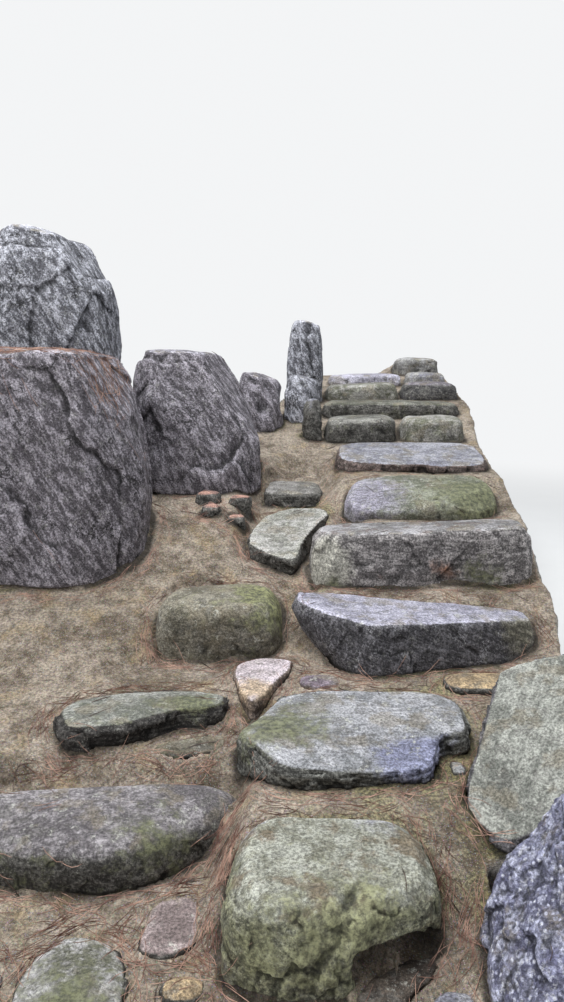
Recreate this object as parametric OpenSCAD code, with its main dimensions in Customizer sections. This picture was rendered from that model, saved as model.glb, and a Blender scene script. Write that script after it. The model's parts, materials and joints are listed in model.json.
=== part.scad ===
// Outdoor stone steps: boulders and slabs of uneven size, bedded in sandy mortar, that climb a bank.
// X runs across the steps, Y up the steps and Z up. The origin is on the floor under the foot stones.

/* [Bedding] */
// Level of the bedding round the foot stones, above the floor
foot_bed = 95; // [75:5:140]
// Rise of the bedding from the foot stones to the first step
foot_climb = 42; // [30:1:60]
// Distance from the front of the foot stones to the front boulder
foot_going = 155; // [140:5:180]
// Distance from the front of the foot stones back to the origin
front_reach = 140; // [110:5:180]
// Depth that each stone sits in the bedding
embed = 50; // [30:5:65]
// Height of a tread's back edge above the bedding behind it
flush = 15; // [8:1:25]
// Mortar joint between neighbouring stones
joint = 15; // [10:1:25]
// Wider joint behind the stones of the upper steps
back_joint = 20; // [15:1:30]
// Bedding that shows outside the outermost stones
margin = 30; // [15:5:60]
// Spread of the bedding's outer sides at floor level
base_flare = 40; // [0:5:80]
// Unevenness of the bedding's surface
uneven = 5; // [0:1:8]
// Depth of the bedding behind the top step
landing = 60; // [30:5:120]
// Raise of the tilted slab above the fourth step's bedding
slab_lift = 30; // [24:1:36]
// Width over which two levels of the bedding blend
blend = 90; // [60:5:120]

/* [Rubble walls of the bedding] */
// Height of a course of rubble
course_h = 250; // [215:5:285]
// Depth of the joints between these stones
rake = 19; // [12:1:25]

/* [Bedding strips] */
// Strip of bedding behind the front boulder
strip_1 = 96; // [80:1:115]
// Strip behind the cleft slab
strip_2 = 94; // [80:1:120]
// Strip behind the wide dark stone
strip_3 = 75; // [60:1:90]
// Strip behind the long block
strip_4 = 90; // [70:1:110]
// Strip behind the cleft mossy stone
strip_5 = 70; // [55:1:90]
// Strip between the left foot stone and the pillow slab
left_strip_0 = 105; // [90:1:120]
// Strip between the pillow slab and the left slab
left_strip_1 = 35; // [28:1:50]
// Strip between the left slab and the mossy boulder
left_strip_2 = 206; // [180:1:230]
// Strip between the mossy boulder and the tilted slab
left_strip_3 = 54; // [45:1:65]
// Strip between the tilted slab and the fifth step's left stone
left_strip_4 = 35; // [30:1:42]

/* [Tilt of the treads] */
// Rise of the cleft slab from front to back
cleft_slab_rise = 6; // [2:1:10]
// Rise of the pillow-shaped slab
pillow_slab_rise = 15; // [10:1:20]
// Rise of the wide dark stone
dark_stone_rise = 7; // [3:1:12]
// Fall of the wide dark stone from left to right
dark_stone_fall = 55; // [40:1:70]
// Reach of the wide dark stone's left end over its foot
dark_stone_lean = 100; // [80:5:120]
// Fall of the long block from front to back
long_block_fall = 8; // [4:1:12]
// Rise of the tilted slab
tilted_slab_rise = 105; // [85:1:125]
// Rise of the fifth step's left stone
fifth_left_rise = 22; // [15:1:30]
// Rise of the cleft mossy stone
ridge_stone_rise = 83; // [60:1:100]
// Rise of the sixth step's slab
sixth_slab_rise = 64; // [45:1:80]
// Rise of the side flag from front to back
side_flag_rise = 134; // [110:1:155]
// Rise of the side flag from left to right
side_flag_cant = 125; // [100:1:150]

/* [Left edge of each step's main stone] */
// Left edge of the foot stones on the right
edge_0 = 130; // [115:5:145]
// Left edge of the front boulder
edge_1 = -231; // [-265:1:-200]
// Left edge of the cleft slab
edge_2 = -225; // [-255:1:-195]
// Left edge of the wide dark stone's foot
edge_3 = 20; // [15:1:25]
// Left edge of the long block
edge_4 = -1; // [-5:1:5]
// Left edge of the cleft mossy stone
edge_5 = 164; // [140:1:190]
// Left edge of the sixth step
edge_6 = 155; // [135:1:175]
// Left edge of the seventh step
edge_7 = 120; // [105:1:135]
// Left edge of the eighth step
edge_8 = 118; // [100:1:135]
// Left edge of the ninth step
edge_9 = 154; // [135:1:175]
// Left edge of the tenth step
edge_10 = 191; // [165:1:215]
// Left edge of the top step
edge_11 = 655; // [600:5:710]

/* [Places of the side stones] */
// Overlap of the pillow-shaped slab behind the front boulder
pillow_lap = 31; // [26:1:36]
// Gap between the front boulder and the left foot stone
foot_gap = 180; // [155:5:205]
// Gap between the front boulder and the worn stone
worn_gap = 49; // [42:1:56]
// How far the foot riser stands out in front of the front boulder
foot_riser_out = 53; // [45:1:60]
// Gap between the front boulder and the pebbly side boulder
side_gap = 62; // [53:1:71]
// How far the side flag reaches in front of the cleft slab's right edge
flag_lap = 83; // [70:1:95]
// How far the tilted slab reaches behind the long block
slab_lap = 105; // [90:1:120]
// Gap between the cleft mossy stone and its left neighbour
fifth_gap = 75; // [64:1:86]
// Gap between the mossy boulder and the bank
bank_gap = 80; // [68:1:92]
// How far the bank begins in front of the tilted slab
bank_overlap = 139; // [120:1:160]

/* [Foot stones] */
// Width of the grey foot stone on the left
foot_left_w = 240; // [205:5:275]
// Its depth
foot_left_d = 345; // [295:5:395]
// Its height above the bedding
foot_left_h = 38; // [30:1:46]
// Width of the blue-grey foot stone at the left corner
foot_corner_w = 215; // [185:5:245]
// Its depth
foot_corner_d = 260; // [220:5:300]
// Its height above the bedding
foot_corner_h = 32; // [26:1:38]
// Width of the foot stone on the right
foot_right_w = 165; // [140:5:190]
// Its depth
foot_right_d = 190; // [160:5:220]
// Its height above the bedding
foot_right_h = 42; // [34:1:50]
// Width of the brown stone below the front boulder
foot_riser_w = 195; // [165:5:225]
// Its depth
foot_riser_d = 165; // [140:5:190]
// Its height above the bedding
foot_riser_h = 52; // [42:1:62]
// Width of the small ochre cobble
cobble_w = 102; // [85:5:115]
// Its depth
cobble_d = 80; // [70:5:90]
// Its height above the bedding
cobble_h = 24; // [19:1:29]
// Width of the worn stone flush with the bedding
worn_stone_w = 135; // [115:5:155]
// Its depth
worn_stone_d = 180; // [155:5:205]
// Its height above the bedding
worn_stone_h = 10; // [8:1:12]

/* [First step] */
// Width of the mossy front boulder
front_boulder_w = 479; // [410:5:550]
// Its depth
front_boulder_d = 365; // [310:5:420]
// Its height above the bedding
front_boulder_h = 188; // [150:5:225]
// Width of the long pillow-shaped slab
pillow_slab_w = 780; // [665:5:895]
// Its depth
pillow_slab_d = 308; // [260:5:355]
// Its height above the bedding
pillow_slab_h = 112; // [90:5:135]

/* [Second step] */
// Width of the cleft slab in the middle
cleft_slab_w = 658; // [560:5:755]
// Its depth
cleft_slab_d = 415; // [355:5:475]
// Its height above the bedding
cleft_slab_h = 74; // [60:1:88]
// Width of the thick slab on the left
left_slab_w = 500; // [425:5:575]
// Its depth
left_slab_d = 257; // [220:5:295]
// Its height above the bedding
left_slab_h = 72; // [60:5:85]
// Width of the mossy stone below the left slab
left_riser_w = 218; // [185:5:250]
// Its depth
left_riser_d = 118; // [100:5:135]
// Its height above the bedding
left_riser_h = 32; // [26:1:38]
// Width of the grey packing stone
packing_stone_w = 46; // [39:1:53]
// Its depth
packing_stone_d = 70; // [60:5:80]
// Its height above the bedding
packing_stone_h = 24; // [19:1:29]
// Width of the pink triangular plate
pink_plate_w = 191; // [165:5:220]
// Its depth
pink_plate_d = 315; // [270:5:360]
// Its height above the bedding
pink_plate_h = 26; // [21:1:31]
// Width of the purple stone chip
purple_chip_w = 136; // [115:5:155]
// Its depth
purple_chip_d = 95; // [80:5:110]
// Its height above the bedding
purple_chip_h = 12; // [10:1:14]
// Width of the flat ochre stone
ochre_stone_w = 245; // [210:5:280]
// Its depth
ochre_stone_d = 125; // [105:5:145]
// Its height above the bedding
ochre_stone_h = 20; // [16:1:24]

/* [Right flank] */
// Width of the flag that rises to the right
side_flag_w = 485; // [415:5:555]
// Its depth
side_flag_d = 536; // [456:5:616]
// Its height above the bedding
side_flag_h = 34; // [27:1:41]
// Width of the pebbly boulder on the right
side_boulder_w = 590; // [500:5:680]
// Its depth
side_boulder_d = 410; // [350:5:470]
// Its height
side_boulder_h = 530; // [424:4:636]

/* [Third step] */
// Width of the wide dark stone
dark_stone_w = 745; // [635:5:855]
// Its depth
dark_stone_d = 305; // [260:5:350]
// Its height above the bedding
dark_stone_h = 180; // [144:4:216]
// Width of the rounded mossy boulder
mossy_boulder_w = 445; // [380:5:510]
// Its depth
mossy_boulder_d = 320; // [270:5:370]
// Its height above the bedding
mossy_boulder_h = 180; // [145:5:215]

/* [Fourth step] */
// Width of the long riser block
long_block_w = 841; // [715:5:965]
// Its depth
long_block_d = 245; // [210:5:280]
// Its height above the bedding
long_block_h = 198; // [158:2:238]
// Width of the tilted slab
tilted_slab_w = 345; // [295:5:395]
// Its depth
tilted_slab_d = 461; // [395:5:530]
// Its height above the bedding
tilted_slab_h = 50; // [40:1:60]
// Width of the small red-brown rubble stones
rubble_stone_w = 95; // [80:5:110]
// Its depth
rubble_stone_d = 80; // [70:5:90]
// Its height above the bedding
rubble_stone_h = 45; // [36:1:54]

/* [Fifth step] */
// Width of the cleft mossy stone
ridge_stone_w = 642; // [545:5:740]
// Its depth
ridge_stone_d = 320; // [270:5:370]
// Its height above the bedding
ridge_stone_h = 62; // [50:5:75]
// Width of the left stone of the fifth step
fifth_left_w = 277; // [235:5:320]
// Its depth
fifth_left_d = 262; // [225:5:300]
// Its height above the bedding
fifth_left_h = 58; // [46:1:70]

/* [Sixth step] */
// Width of the broad slab of the sixth step
sixth_slab_w = 705; // [600:5:810]
// Its depth
sixth_slab_d = 400; // [340:5:460]
// Its height above the bedding
sixth_slab_h = 36; // [29:1:43]

/* [Seventh step] */
// Width of the left stone of the seventh step
seventh_left_w = 375; // [320:5:430]
// Its depth
seventh_left_d = 330; // [280:5:380]
// Its height above the bedding
seventh_left_h = 112; // [90:5:135]
// Width of the right stone of the seventh step
seventh_right_w = 325; // [275:5:375]
// Its depth
seventh_right_d = 320; // [270:5:370]
// Its height above the bedding
seventh_right_h = 116; // [95:5:140]

/* [Eighth step] */
// Width of the long stone of the eighth step
eighth_stone_w = 780; // [665:5:895]
// Its depth
eighth_stone_d = 310; // [265:5:355]
// Its height above the bedding
eighth_stone_h = 84; // [65:5:100]

/* [Ninth step] */
// Width of the left stone of the ninth step
ninth_left_w = 440; // [375:5:505]
// Its depth
ninth_left_d = 300; // [255:5:345]
// Its height above the bedding
ninth_left_h = 84; // [65:5:100]
// Width of the dark rough stone of the ninth step
ninth_right_w = 345; // [295:5:395]
// Its depth
ninth_right_d = 290; // [245:5:335]
// Its height above the bedding
ninth_right_h = 100; // [80:5:120]

/* [Tenth step] */
// Width of the left stone of the tenth step
tenth_left_w = 475; // [405:5:545]
// Its depth
tenth_left_d = 300; // [255:5:345]
// Its height above the bedding
tenth_left_h = 66; // [55:5:80]
// Width of the small stone of the tenth step
tenth_right_w = 255; // [215:5:295]
// Its depth
tenth_right_d = 240; // [205:5:275]
// Its height above the bedding
tenth_right_h = 82; // [65:5:100]

/* [Top step] */
// Width of the stone at the head of the steps
top_stone_w = 300; // [255:5:345]
// Its depth
top_stone_d = 280; // [240:5:320]
// Its height above the bedding
top_stone_h = 118; // [95:5:140]

/* [Bank boulders] */
// Width of the big front boulder of the bank
bank_front_w = 820; // [700:5:940]
// Its depth
bank_front_d = 540; // [460:5:620]
// Its height above the bedding
bank_front_h = 800; // [640:5:960]
// Width of the leaning middle boulder of the bank
bank_middle_w = 570; // [485:5:655]
// Its depth
bank_middle_d = 500; // [425:5:575]
// Its height above the bedding
bank_middle_h = 570; // [455:5:685]
// Width of the boulder that carries the upper one
bank_back_w = 640; // [545:5:735]
// Its depth
bank_back_d = 600; // [510:5:690]
// Its height above the bedding
bank_back_h = 500; // [400:5:600]
// Width of the upper boulder of the bank
bank_upper_w = 560; // [475:5:645]
// Its depth
bank_upper_d = 500; // [425:5:575]
// Its height
bank_upper_h = 555; // [445:5:665]
// Width of the dark boulder beside the seventh step
bank_dark_w = 250; // [210:5:290]
// Its depth
bank_dark_d = 300; // [255:5:345]
// Its height above the bedding
bank_dark_h = 290; // [230:5:350]
// Width of the grey boulder beside the eighth step
bank_grey_w = 184; // [155:5:210]
// Its depth
bank_grey_d = 210; // [180:5:240]
// Its height above the bedding
bank_grey_h = 245; // [195:5:295]
// Width of the wedge stone beside the seventh step
wedge_stone_w = 104; // [90:5:120]
// Its depth
wedge_stone_d = 160; // [135:5:185]
// Its height above the bedding
wedge_stone_h = 195; // [155:5:235]
// Width of the upright stone beside the ninth step
upright_stone_w = 205; // [175:5:235]
// Its depth
upright_stone_d = 215; // [185:5:245]
// Its height above the bedding
upright_stone_h = 480; // [385:5:575]

/* [Hidden] */
big = 3000;

// The flight's own column has one main stone a step: its depth, height, rise to the back and the strip behind
COLUMN = [
    [foot_going, foot_climb, 0, 0],
    [front_boulder_d, front_boulder_h, 0, strip_1],
    [cleft_slab_d, cleft_slab_h, cleft_slab_rise, strip_2],
    [dark_stone_d, dark_stone_h, dark_stone_rise, strip_3],
    [long_block_d, long_block_h, -long_block_fall, strip_4],
    [ridge_stone_d, ridge_stone_h, ridge_stone_rise, strip_5],
    [sixth_slab_d, sixth_slab_h, sixth_slab_rise, back_joint],
    [seventh_left_d, seventh_left_h, 0, back_joint],
    [eighth_stone_d, eighth_stone_h, 0, back_joint],
    [ninth_left_d, ninth_left_h, 0, back_joint],
    [tenth_left_d, tenth_left_h, 0, back_joint],
    [top_stone_d, top_stone_h, 0, landing]];
TOP = len(COLUMN) - 1;
function front(i) = i == 0 ? -front_reach : front(i - 1) + COLUMN[i - 1][0] + COLUMN[i - 1][3];
function back(i) = front(i) + COLUMN[i][0];
function level(i) = i == 0 ? foot_bed
    : level(i - 1) + COLUMN[i - 1][1] + COLUMN[i - 1][2] - (i == 1 ? 0 : flush);
function tread_back(i) = level(i) + COLUMN[i][1] + COLUMN[i][2] - flush;

// Left and right edge of each step's main stone
EDGE = [edge_0, edge_1, edge_2, edge_3, edge_4, edge_5, edge_6, edge_7, edge_8, edge_9, edge_10, edge_11];
RIGHT = [
    EDGE[0] + foot_right_w,
    EDGE[1] + front_boulder_w,
    EDGE[2] + cleft_slab_w,
    EDGE[3] + dark_stone_w,
    EDGE[4] + long_block_w,
    EDGE[5] + ridge_stone_w,
    EDGE[6] + sixth_slab_w,
    EDGE[7] + seventh_left_w + joint + seventh_right_w,
    EDGE[8] + eighth_stone_w,
    EDGE[9] + ninth_left_w + joint + ninth_right_w,
    EDGE[10] + tenth_left_w + joint + tenth_right_w,
    EDGE[11] + top_stone_w];

// The left column has stones of its own up to the fifth step: depth, height, rise and the strip behind
LEFT = [
    [foot_left_d, foot_left_h, 0, left_strip_0],
    [pillow_slab_d, pillow_slab_h, pillow_slab_rise, left_strip_1],
    [left_slab_d, left_slab_h, 0, left_strip_2],
    [mossy_boulder_d, mossy_boulder_h, 0, left_strip_3],
    [tilted_slab_d, tilted_slab_h, tilted_slab_rise, left_strip_4],
    [fifth_left_d, fifth_left_h, fifth_left_rise, joint]];
function left_front(i) = i == 0 ? -front_reach : left_front(i - 1) + LEFT[i - 1][0] + LEFT[i - 1][3];
function left_back(i) = left_front(i) + LEFT[i][0];
function left_level(i) = level(i) + (i == 4 ? slab_lift : 0);
function left_tread(i) = left_level(i) + LEFT[i][1] + LEFT[i][2] - flush;

// Left edges of the stones beside the flight, each set off from the stone that it borders
pillow_slab_x = EDGE[1] + pillow_lap - pillow_slab_w;
left_slab_x = EDGE[2] - 2 * joint - left_slab_w;
mossy_boulder_x = EDGE[3] - dark_stone_lean - joint - mossy_boulder_w;
tilted_slab_x = EDGE[4] + slab_lap - tilted_slab_w;
fifth_left_x = EDGE[5] - fifth_gap - fifth_left_w;
foot_left_x = EDGE[1] - foot_gap - foot_left_w;
foot_corner_x = foot_left_x - joint - foot_corner_w;
wedge_stone_x = EDGE[7] - joint - wedge_stone_w;
bank_grey_x = EDGE[8] - joint - bank_grey_w;
upright_stone_x = EDGE[9] - joint - upright_stone_w;
bank_dark_x = bank_grey_x - joint - bank_dark_w;
bank_middle_x = fifth_left_x - joint - bank_middle_w;
bank_front_x = mossy_boulder_x - bank_gap - bank_front_w;
bank_back_x = bank_middle_x - joint - bank_back_w;
side_flag_x = RIGHT[2] - flag_lap;
side_boulder_x = RIGHT[1] + side_gap;
foot_right_x = side_boulder_x - joint - foot_right_w;
foot_riser_x = RIGHT[1] - joint - foot_riser_w;

// Front edges of the bank boulders and of the side flag
bank_front_y = left_front(4) - bank_overlap;
bank_middle_y = bank_front_y + bank_front_d + joint;
bank_back_y = bank_middle_y;
side_flag_y = side_boulder_d - front_reach + back_joint;

// Level of the bedding: along each stone it climbs from that stone's own step to the next
hold = 0.4;
function climb(f, b, low, high) = [[f, low], [f + (b - f) * hold, low], [b, high]];
right_table = [
    [front(0), level(0)],
    for (i = [1:TOP]) each climb(front(i), back(i), level(i), i < TOP ? level(i + 1) : tread_back(i))];
left_table = [
    [front(0), level(0)],
    for (i = [1:5]) each climb(left_front(i), left_back(i), left_level(i), left_tread(i)),
    for (i = [7:TOP]) [front(i), level(i)]];
ramp_table = [for (i = [0:TOP]) [front(i), level(i)]];
middle_table = [for (i = [0:TOP]) [front(i), EDGE[i] - joint / 2]];
right_edge_table = [for (i = [0:TOP]) [front(i), RIGHT[i]]];
left_edge_table = [
    [left_front(0), foot_corner_x],
    [left_front(1), pillow_slab_x],
    [left_front(2), left_slab_x],
    [left_front(3), mossy_boulder_x],
    [left_front(4), tilted_slab_x],
    [left_front(5), fifth_left_x],
    [front(7), wedge_stone_x],
    [front(9), upright_stone_x]];
shoulder = 0.25;
function mix(a, b, t) = a * (1 - t) + b * t;
function smooth(t) = let (c = min(1, max(0, t))) c * c * (3 - 2 * c);
function seat(x, y) = let (
    inner = mix(lookup(y, left_table), lookup(y, right_table),
        smooth((x - lookup(y, middle_table)) / blend + 0.5)),
    ramp = lookup(y, ramp_table),
    out = x - lookup(y, right_edge_table),
    in_right = mix(inner, ramp, smooth(out / blend)),
    in_left = mix(in_right, ramp, smooth((lookup(y, left_edge_table) - x) / blend)))
    in_left + shoulder * max(0, out - blend) * smooth((y - side_flag_y) / 200) * smooth((front(3) - y) / 200);
function bed_z(x, y) = seat(x, y) + uneven * sin(0.9 * x + 60 * sin(0.7 * y)) * cos(0.8 * y);

// A stone is [left front corner at bedding level], [width, depth, height], outline, form and seed, where
// form is [rise to the back, rise to the right, crown, edge rounding, lean, turn of the lean, roughness]
corner_cut = 0.17;
function soften(p) = [for (i = [0:len(p) - 1]) let (a = p[i], b = p[(i + 1) % len(p)])
    each [mix(a, b, corner_cut), mix(b, a, corner_cut)]];
function fitted(p) = let (
    xs = [for (q = p) q[0]], ys = [for (q = p) q[1]],
    x0 = min(xs), y0 = min(ys), w = max(xs) - x0, d = max(ys) - y0)
    [for (q = p) [(q[0] - x0) / w, (q[1] - y0) / d]];
function plan(s) = [for (q = fitted(soften(s[2]))) [s[0][0] + q[0] * s[1][0], s[0][1] + q[1] * s[1][1]]];
function spot(s, fx, fy, fz) = [s[0][0] + fx * s[1][0], s[0][1] + fy * s[1][1], s[0][2] + fz * s[1][2]];
function top_at(s, q) = s[1][2] + s[3][0] * (q[1] - s[0][1]) / s[1][1] + s[3][1] * (q[0] - s[0][0]) / s[1][0];

// Rings above the bedding: share of the height, share of the edge rounding, share of the lean.
// A thin stone does without the lowest of them
PROFILE = [[0.42, 0, 0.6], [0.8, 0.35, 1], [1, 1, 0.95]];
thin = 60;
crown_ring = 0.55;
module stone(s) {
    p = plan(s);
    n = len(p);
    c = [s[0][0] + s[1][0] / 2, s[0][1] + s[1][1] / 2];
    half = min(s[1][0], s[1][1]) / 2;
    collar = uneven + 1;
    base = s[0][2];
    rough = s[3][6];
    way = [cos(s[3][5]), sin(s[3][5])];
    lowest = s[1][2] < thin ? 1 : 0;
    body = [for (k = [lowest:2]) for (i = [0:n - 1]) let (
        r = rands(-1, 1, 2 * n, s[4] + k),
        f = PROFILE[k],
        out = (p[i] - c) / norm(p[i] - c),
        lean = s[3][4] * f[2] * pow(max(0, out * way), 3),
        q = c + (p[i] - c) * (1 - s[3][3] * f[1] / half) - rough * abs(r[i]) * out + lean * way)
        [q[0], q[1], base + collar + f[0] * (top_at(s, q) - collar) + (k < 2 ? rough * r[n + i] : 0)]];
    rim = [for (i = [0:n - 1]) let (q = body[(2 - lowest) * n + i]) [q[0], q[1]]];
    crown = [for (q = rim) 1 / n] * rim;
    r = rands(-1, 1, n, s[4] + 9);
    inner = [for (i = [0:n - 1]) let (q = mix(crown, rim[i], crown_ring))
        [q[0], q[1], base + top_at(s, q) + 0.75 * s[3][2] + rough * r[i] / 3]];
    points = [
        for (q = p) [q[0], q[1], base - embed],
        for (q = p) [q[0], q[1], base + collar],
        each body,
        each inner,
        [c[0], c[1], base - embed],
        [crown[0], crown[1], base + top_at(s, crown) + s[3][2]]];
    rings = 6 - lowest;
    faces = [
        for (k = [0:rings - 2]) for (i = [0:n - 1]) let (a = k * n + i, b = k * n + (i + 1) % n)
            each [[a, a + n, b + n], [a, b + n, b]],
        for (i = [0:n - 1]) [rings * n, i, (i + 1) % n],
        for (i = [0:n - 1]) [rings * n + 1, (rings - 1) * n + (i + 1) % n, (rings - 1) * n + i]];
    polyhedron(points, faces);
}

// A boulder takes only the outermost of a rough stone's points, so its facets are broad and uneven
module boulder(s) hull() stone(s);

// The hole in the bedding that a stone fills: its outline, straight up from its underside
module pocket(s, above = big / 10)
    translate([0, 0, s[0][2] - embed]) linear_extrude(embed + s[1][2] + above) polygon(plan(s));

// Takes off what lies beyond a plane through a point that faces the compass turn and tips up
module split(at, turn, tip)
    translate(at) rotate([0, -tip, turn]) translate([0, -big / 2, -big / 2]) cube(big);

BOULDER = [[0, 0.25], [0.2, 0], [0.75, 0], [1, 0.25], [1, 0.8], [0.75, 1], [0.25, 1], [0, 0.75]];
BLOCK = [[0, 0.25], [0.06, 0.02], [0.5, -0.03], [0.93, 0.04], [1, 0.3], [0.98, 0.85], [0.85, 1], [0.45, 0.98],
    [0.07, 1.02]];
LONG = [[0, 0.35], [0.03, 0.08], [0.3, -0.03], [0.64, 0.05], [0.93, 0.1], [1, 0.45], [0.97, 0.95],
    [0.5, 1.02], [0.04, 0.95]];
function on_left(i, x) = [x, left_front(i), left_level(i)];
function on_step(i, x) = [x, front(i), level(i)];

foot_left_spec = [[foot_left_x, -front_reach, foot_bed], [foot_left_w, foot_left_d, foot_left_h],
    [[0, 0.1], [0.3, 0], [0.85, 0.02], [1.02, 0.3], [1, 0.72], [0.75, 0.95], [0.35, 1.02], [0.02, 0.8]],
    [0, 0, 10, 14, 6, 270, 3], 11];
foot_corner_spec = [[foot_corner_x, -front_reach, foot_bed], [foot_corner_w, foot_corner_d, foot_corner_h],
    BLOCK, [0, 0, 6, 12, 6, 270, 3], 12];
foot_right_spec = [[foot_right_x, -front_reach, foot_bed], [foot_right_w, foot_right_d, foot_right_h],
    [[0.05, 0], [0.95, 0], [1, 0.4], [0.97, 1], [0.55, 1.02], [0, 0.5]], [0, 0, 6, 12, 4, 270, 3], 13];
foot_riser_spec = [[foot_riser_x, front(1) - foot_riser_out, foot_bed],
    [foot_riser_w, foot_riser_d, foot_riser_h],
    [[0, 0], [0.36, -0.02], [1, 0.7], [1, 1], [0.56, 0.83], [0.02, 0.4]], [0, 0, 4, 10, 0, 0, 4], 14];
cobble_spec = [[EDGE[1] - cobble_w - back_joint, front(1), foot_bed + 12], [cobble_w, cobble_d, cobble_h],
    BOULDER, [0, 0, 6, 12, 0, 0, 2], 15];
worn_stone_spec = [[EDGE[1] - worn_gap - worn_stone_w, left_front(1) - worn_stone_d, foot_bed + 30],
    [worn_stone_w, worn_stone_d, worn_stone_h],
    [[0, 0.1], [0.5, 0], [1, 0.2], [1, 0.75], [0.7, 1], [0.1, 0.85]], [6, 0, 2, 8, 0, 0, 1], 16];

front_boulder_spec = [on_step(1, EDGE[1]), [front_boulder_w, front_boulder_d, front_boulder_h],
    [[0, 0.35], [0.03, 0.1], [0.18, -0.02], [0.5, -0.02], [0.74, 0.08], [1, 0.25], [1.02, 0.75], [0.92, 1],
        [0.5, 1.04], [0.14, 1.01], [0.03, 0.8]],
    [0, 0, 6, 40, 8, 300, 6], 21];
pillow_slab_spec = [on_left(1, pillow_slab_x), [pillow_slab_w, pillow_slab_d, pillow_slab_h],
    [[0, 0.15], [0.35, 0], [0.64, -0.03], [0.88, 0.32], [1.02, 0.7], [1, 0.98], [0.75, 1.03], [0.3, 0.97],
        [0, 0.85]],
    [pillow_slab_rise, 0, 6, 36, 14, 270, 5], 22];

cleft_slab_spec = [on_step(2, EDGE[2]), [cleft_slab_w, cleft_slab_d, cleft_slab_h],
    [[0, 0.36], [0.18, -0.02], [0.5, -0.03], [0.8, 0.02], [0.85, 0.34], [1, 0.38], [1.02, 0.8], [0.93, 1],
        [0.4, 1.02], [0.2, 0.93], [0.09, 0.58]],
    [cleft_slab_rise, 0, 2, 10, 22, 270, 4], 31];
left_slab_spec = [on_left(2, left_slab_x), [left_slab_w, left_slab_d, left_slab_h],
    [[0, 0.35], [0.12, -0.05], [0.4, 0.05], [0.7, 0.38], [1, 0.52], [1.02, 0.85], [0.8, 1.03], [0.35, 0.97],
        [0.03, 0.75]],
    [0, 0, 5, 14, 24, 270, 4], 32];
left_riser_spec = [
    [left_slab_x + left_slab_w - left_riser_w, left_front(2) - joint, left_level(2) - left_riser_h],
    [left_riser_w, left_riser_d, left_riser_h],
    [[0, 0.1], [0.5, -0.02], [1, 0.25], [1, 1], [0.6, 0.9], [0.08, 0.5]], [0, 0, 3, 8, 0, 0, 3], 33];
packing_stone_spec = [
    [RIGHT[2] - 2 * packing_stone_w, front(2) + packing_stone_w, level(2) - 12],
    [packing_stone_w, packing_stone_d, packing_stone_h], BOULDER, [0, 0, 3, 8, 0, 0, 2], 34];
pink_plate_spec = [[EDGE[2] - 2 * joint, left_front(3) - joint - pink_plate_d, level(3) - 2],
    [pink_plate_w, pink_plate_d, pink_plate_h],
    [[0.3, 0], [0.42, 0.02], [0.7, 0.42], [0.93, 0.72], [0.97, 0.98], [0.4, 1], [0.03, 0.86], [0, 0.62],
        [0.12, 0.28]],
    [0, 0, 2, 5, 4, 270, 1], 35];
purple_chip_spec = [[EDGE[3] - purple_chip_w / 2, back(2) + joint, level(3)],
    [purple_chip_w, purple_chip_d, purple_chip_h],
    [[0, 0.5], [0.3, 0], [0.9, 0.1], [1, 0.6], [0.6, 1], [0.15, 0.9]], [0, 0, 1, 5, 0, 0, 1], 36];
ochre_stone_spec = [[RIGHT[2] - 2 * joint, front(3) - ochre_stone_d + joint, level(3)],
    [ochre_stone_w, ochre_stone_d, ochre_stone_h], BOULDER, [0, 0, 4, 14, 0, 0, 2], 37];
side_flag_spec = [
    [side_flag_x, side_flag_y, seat(side_flag_x, side_flag_y + side_flag_d / 4) - side_flag_h],
    [side_flag_w, side_flag_d, side_flag_h],
    [[0.13, 0], [0.3, -0.02], [0.6, 0], [1, 0.08], [1, 1], [0.38, 1.02], [0.265, 0.78], [0.137, 0.53],
        [0.01, 0.3], [0, 0.18]],
    [side_flag_rise, side_flag_cant, 4, 14, 0, 0, 4], 38];
side_boulder_spec = [[side_boulder_x, -front_reach, embed],
    [side_boulder_w, side_boulder_d, side_boulder_h - embed],
    [[0, 0.3], [0.08, 0.04], [0.3, 0], [0.75, 0], [1, 0.25], [1, 0.8], [0.75, 1], [0.3, 1.02], [0.05, 0.8]],
    [-40, 60, 10, 90, 0, 0, 26], 39];

dark_stone_spec = [on_step(3, EDGE[3]), [dark_stone_w, dark_stone_d, dark_stone_h],
    [[0.02, 0.66], [0.12, 0.2], [0.22, 0], [0.36, 0.06], [0.6, 0.24], [0.9, 0.4], [1, 0.55], [1, 0.95],
        [0.4, 1.02], [0.03, 0.98]],
    [dark_stone_rise, -dark_stone_fall, 3, 10, dark_stone_lean, 165, 7], 41];
mossy_boulder_spec = [on_left(3, mossy_boulder_x), [mossy_boulder_w, mossy_boulder_d, mossy_boulder_h],
    [[0, 0.3], [0.06, 0.05], [0.4, -0.03], [0.86, 0.02], [1, 0.3], [1, 0.85], [0.85, 1], [0.4, 1.02],
        [0.05, 0.9]],
    [0, 8, 8, 36, 10, 270, 5], 42];
long_block_spec = [on_step(4, EDGE[4]), [long_block_w, long_block_d, long_block_h],
    [[0, 0.7], [0.02, 0.25], [0.1, 0], [0.45, -0.02], [0.62, 0.12], [0.82, 0.03], [1, 0.2], [1.01, 0.85],
        [0.9, 1], [0.3, 1.02], [0.05, 0.98]],
    [-long_block_fall, 26, 4, 12, 10, 270, 6], 51];
tilted_slab_spec = [on_left(4, tilted_slab_x), [tilted_slab_w, tilted_slab_d, tilted_slab_h],
    [[0, 0.25], [0.33, 0.04], [0.55, -0.02], [0.61, 0.1], [0.66, 0.3], [0.86, 0.62], [1.02, 0.84], [0.97, 1],
        [0.5, 1.01], [0.18, 0.83], [0.01, 0.48]],
    [tilted_slab_rise, 0, 2, 8, 14, 270, 4], 52];
NUB = [[0, 0.3], [0.2, 0], [0.85, 0.05], [1, 0.6], [0.8, 1], [0.15, 0.95]];
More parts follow.
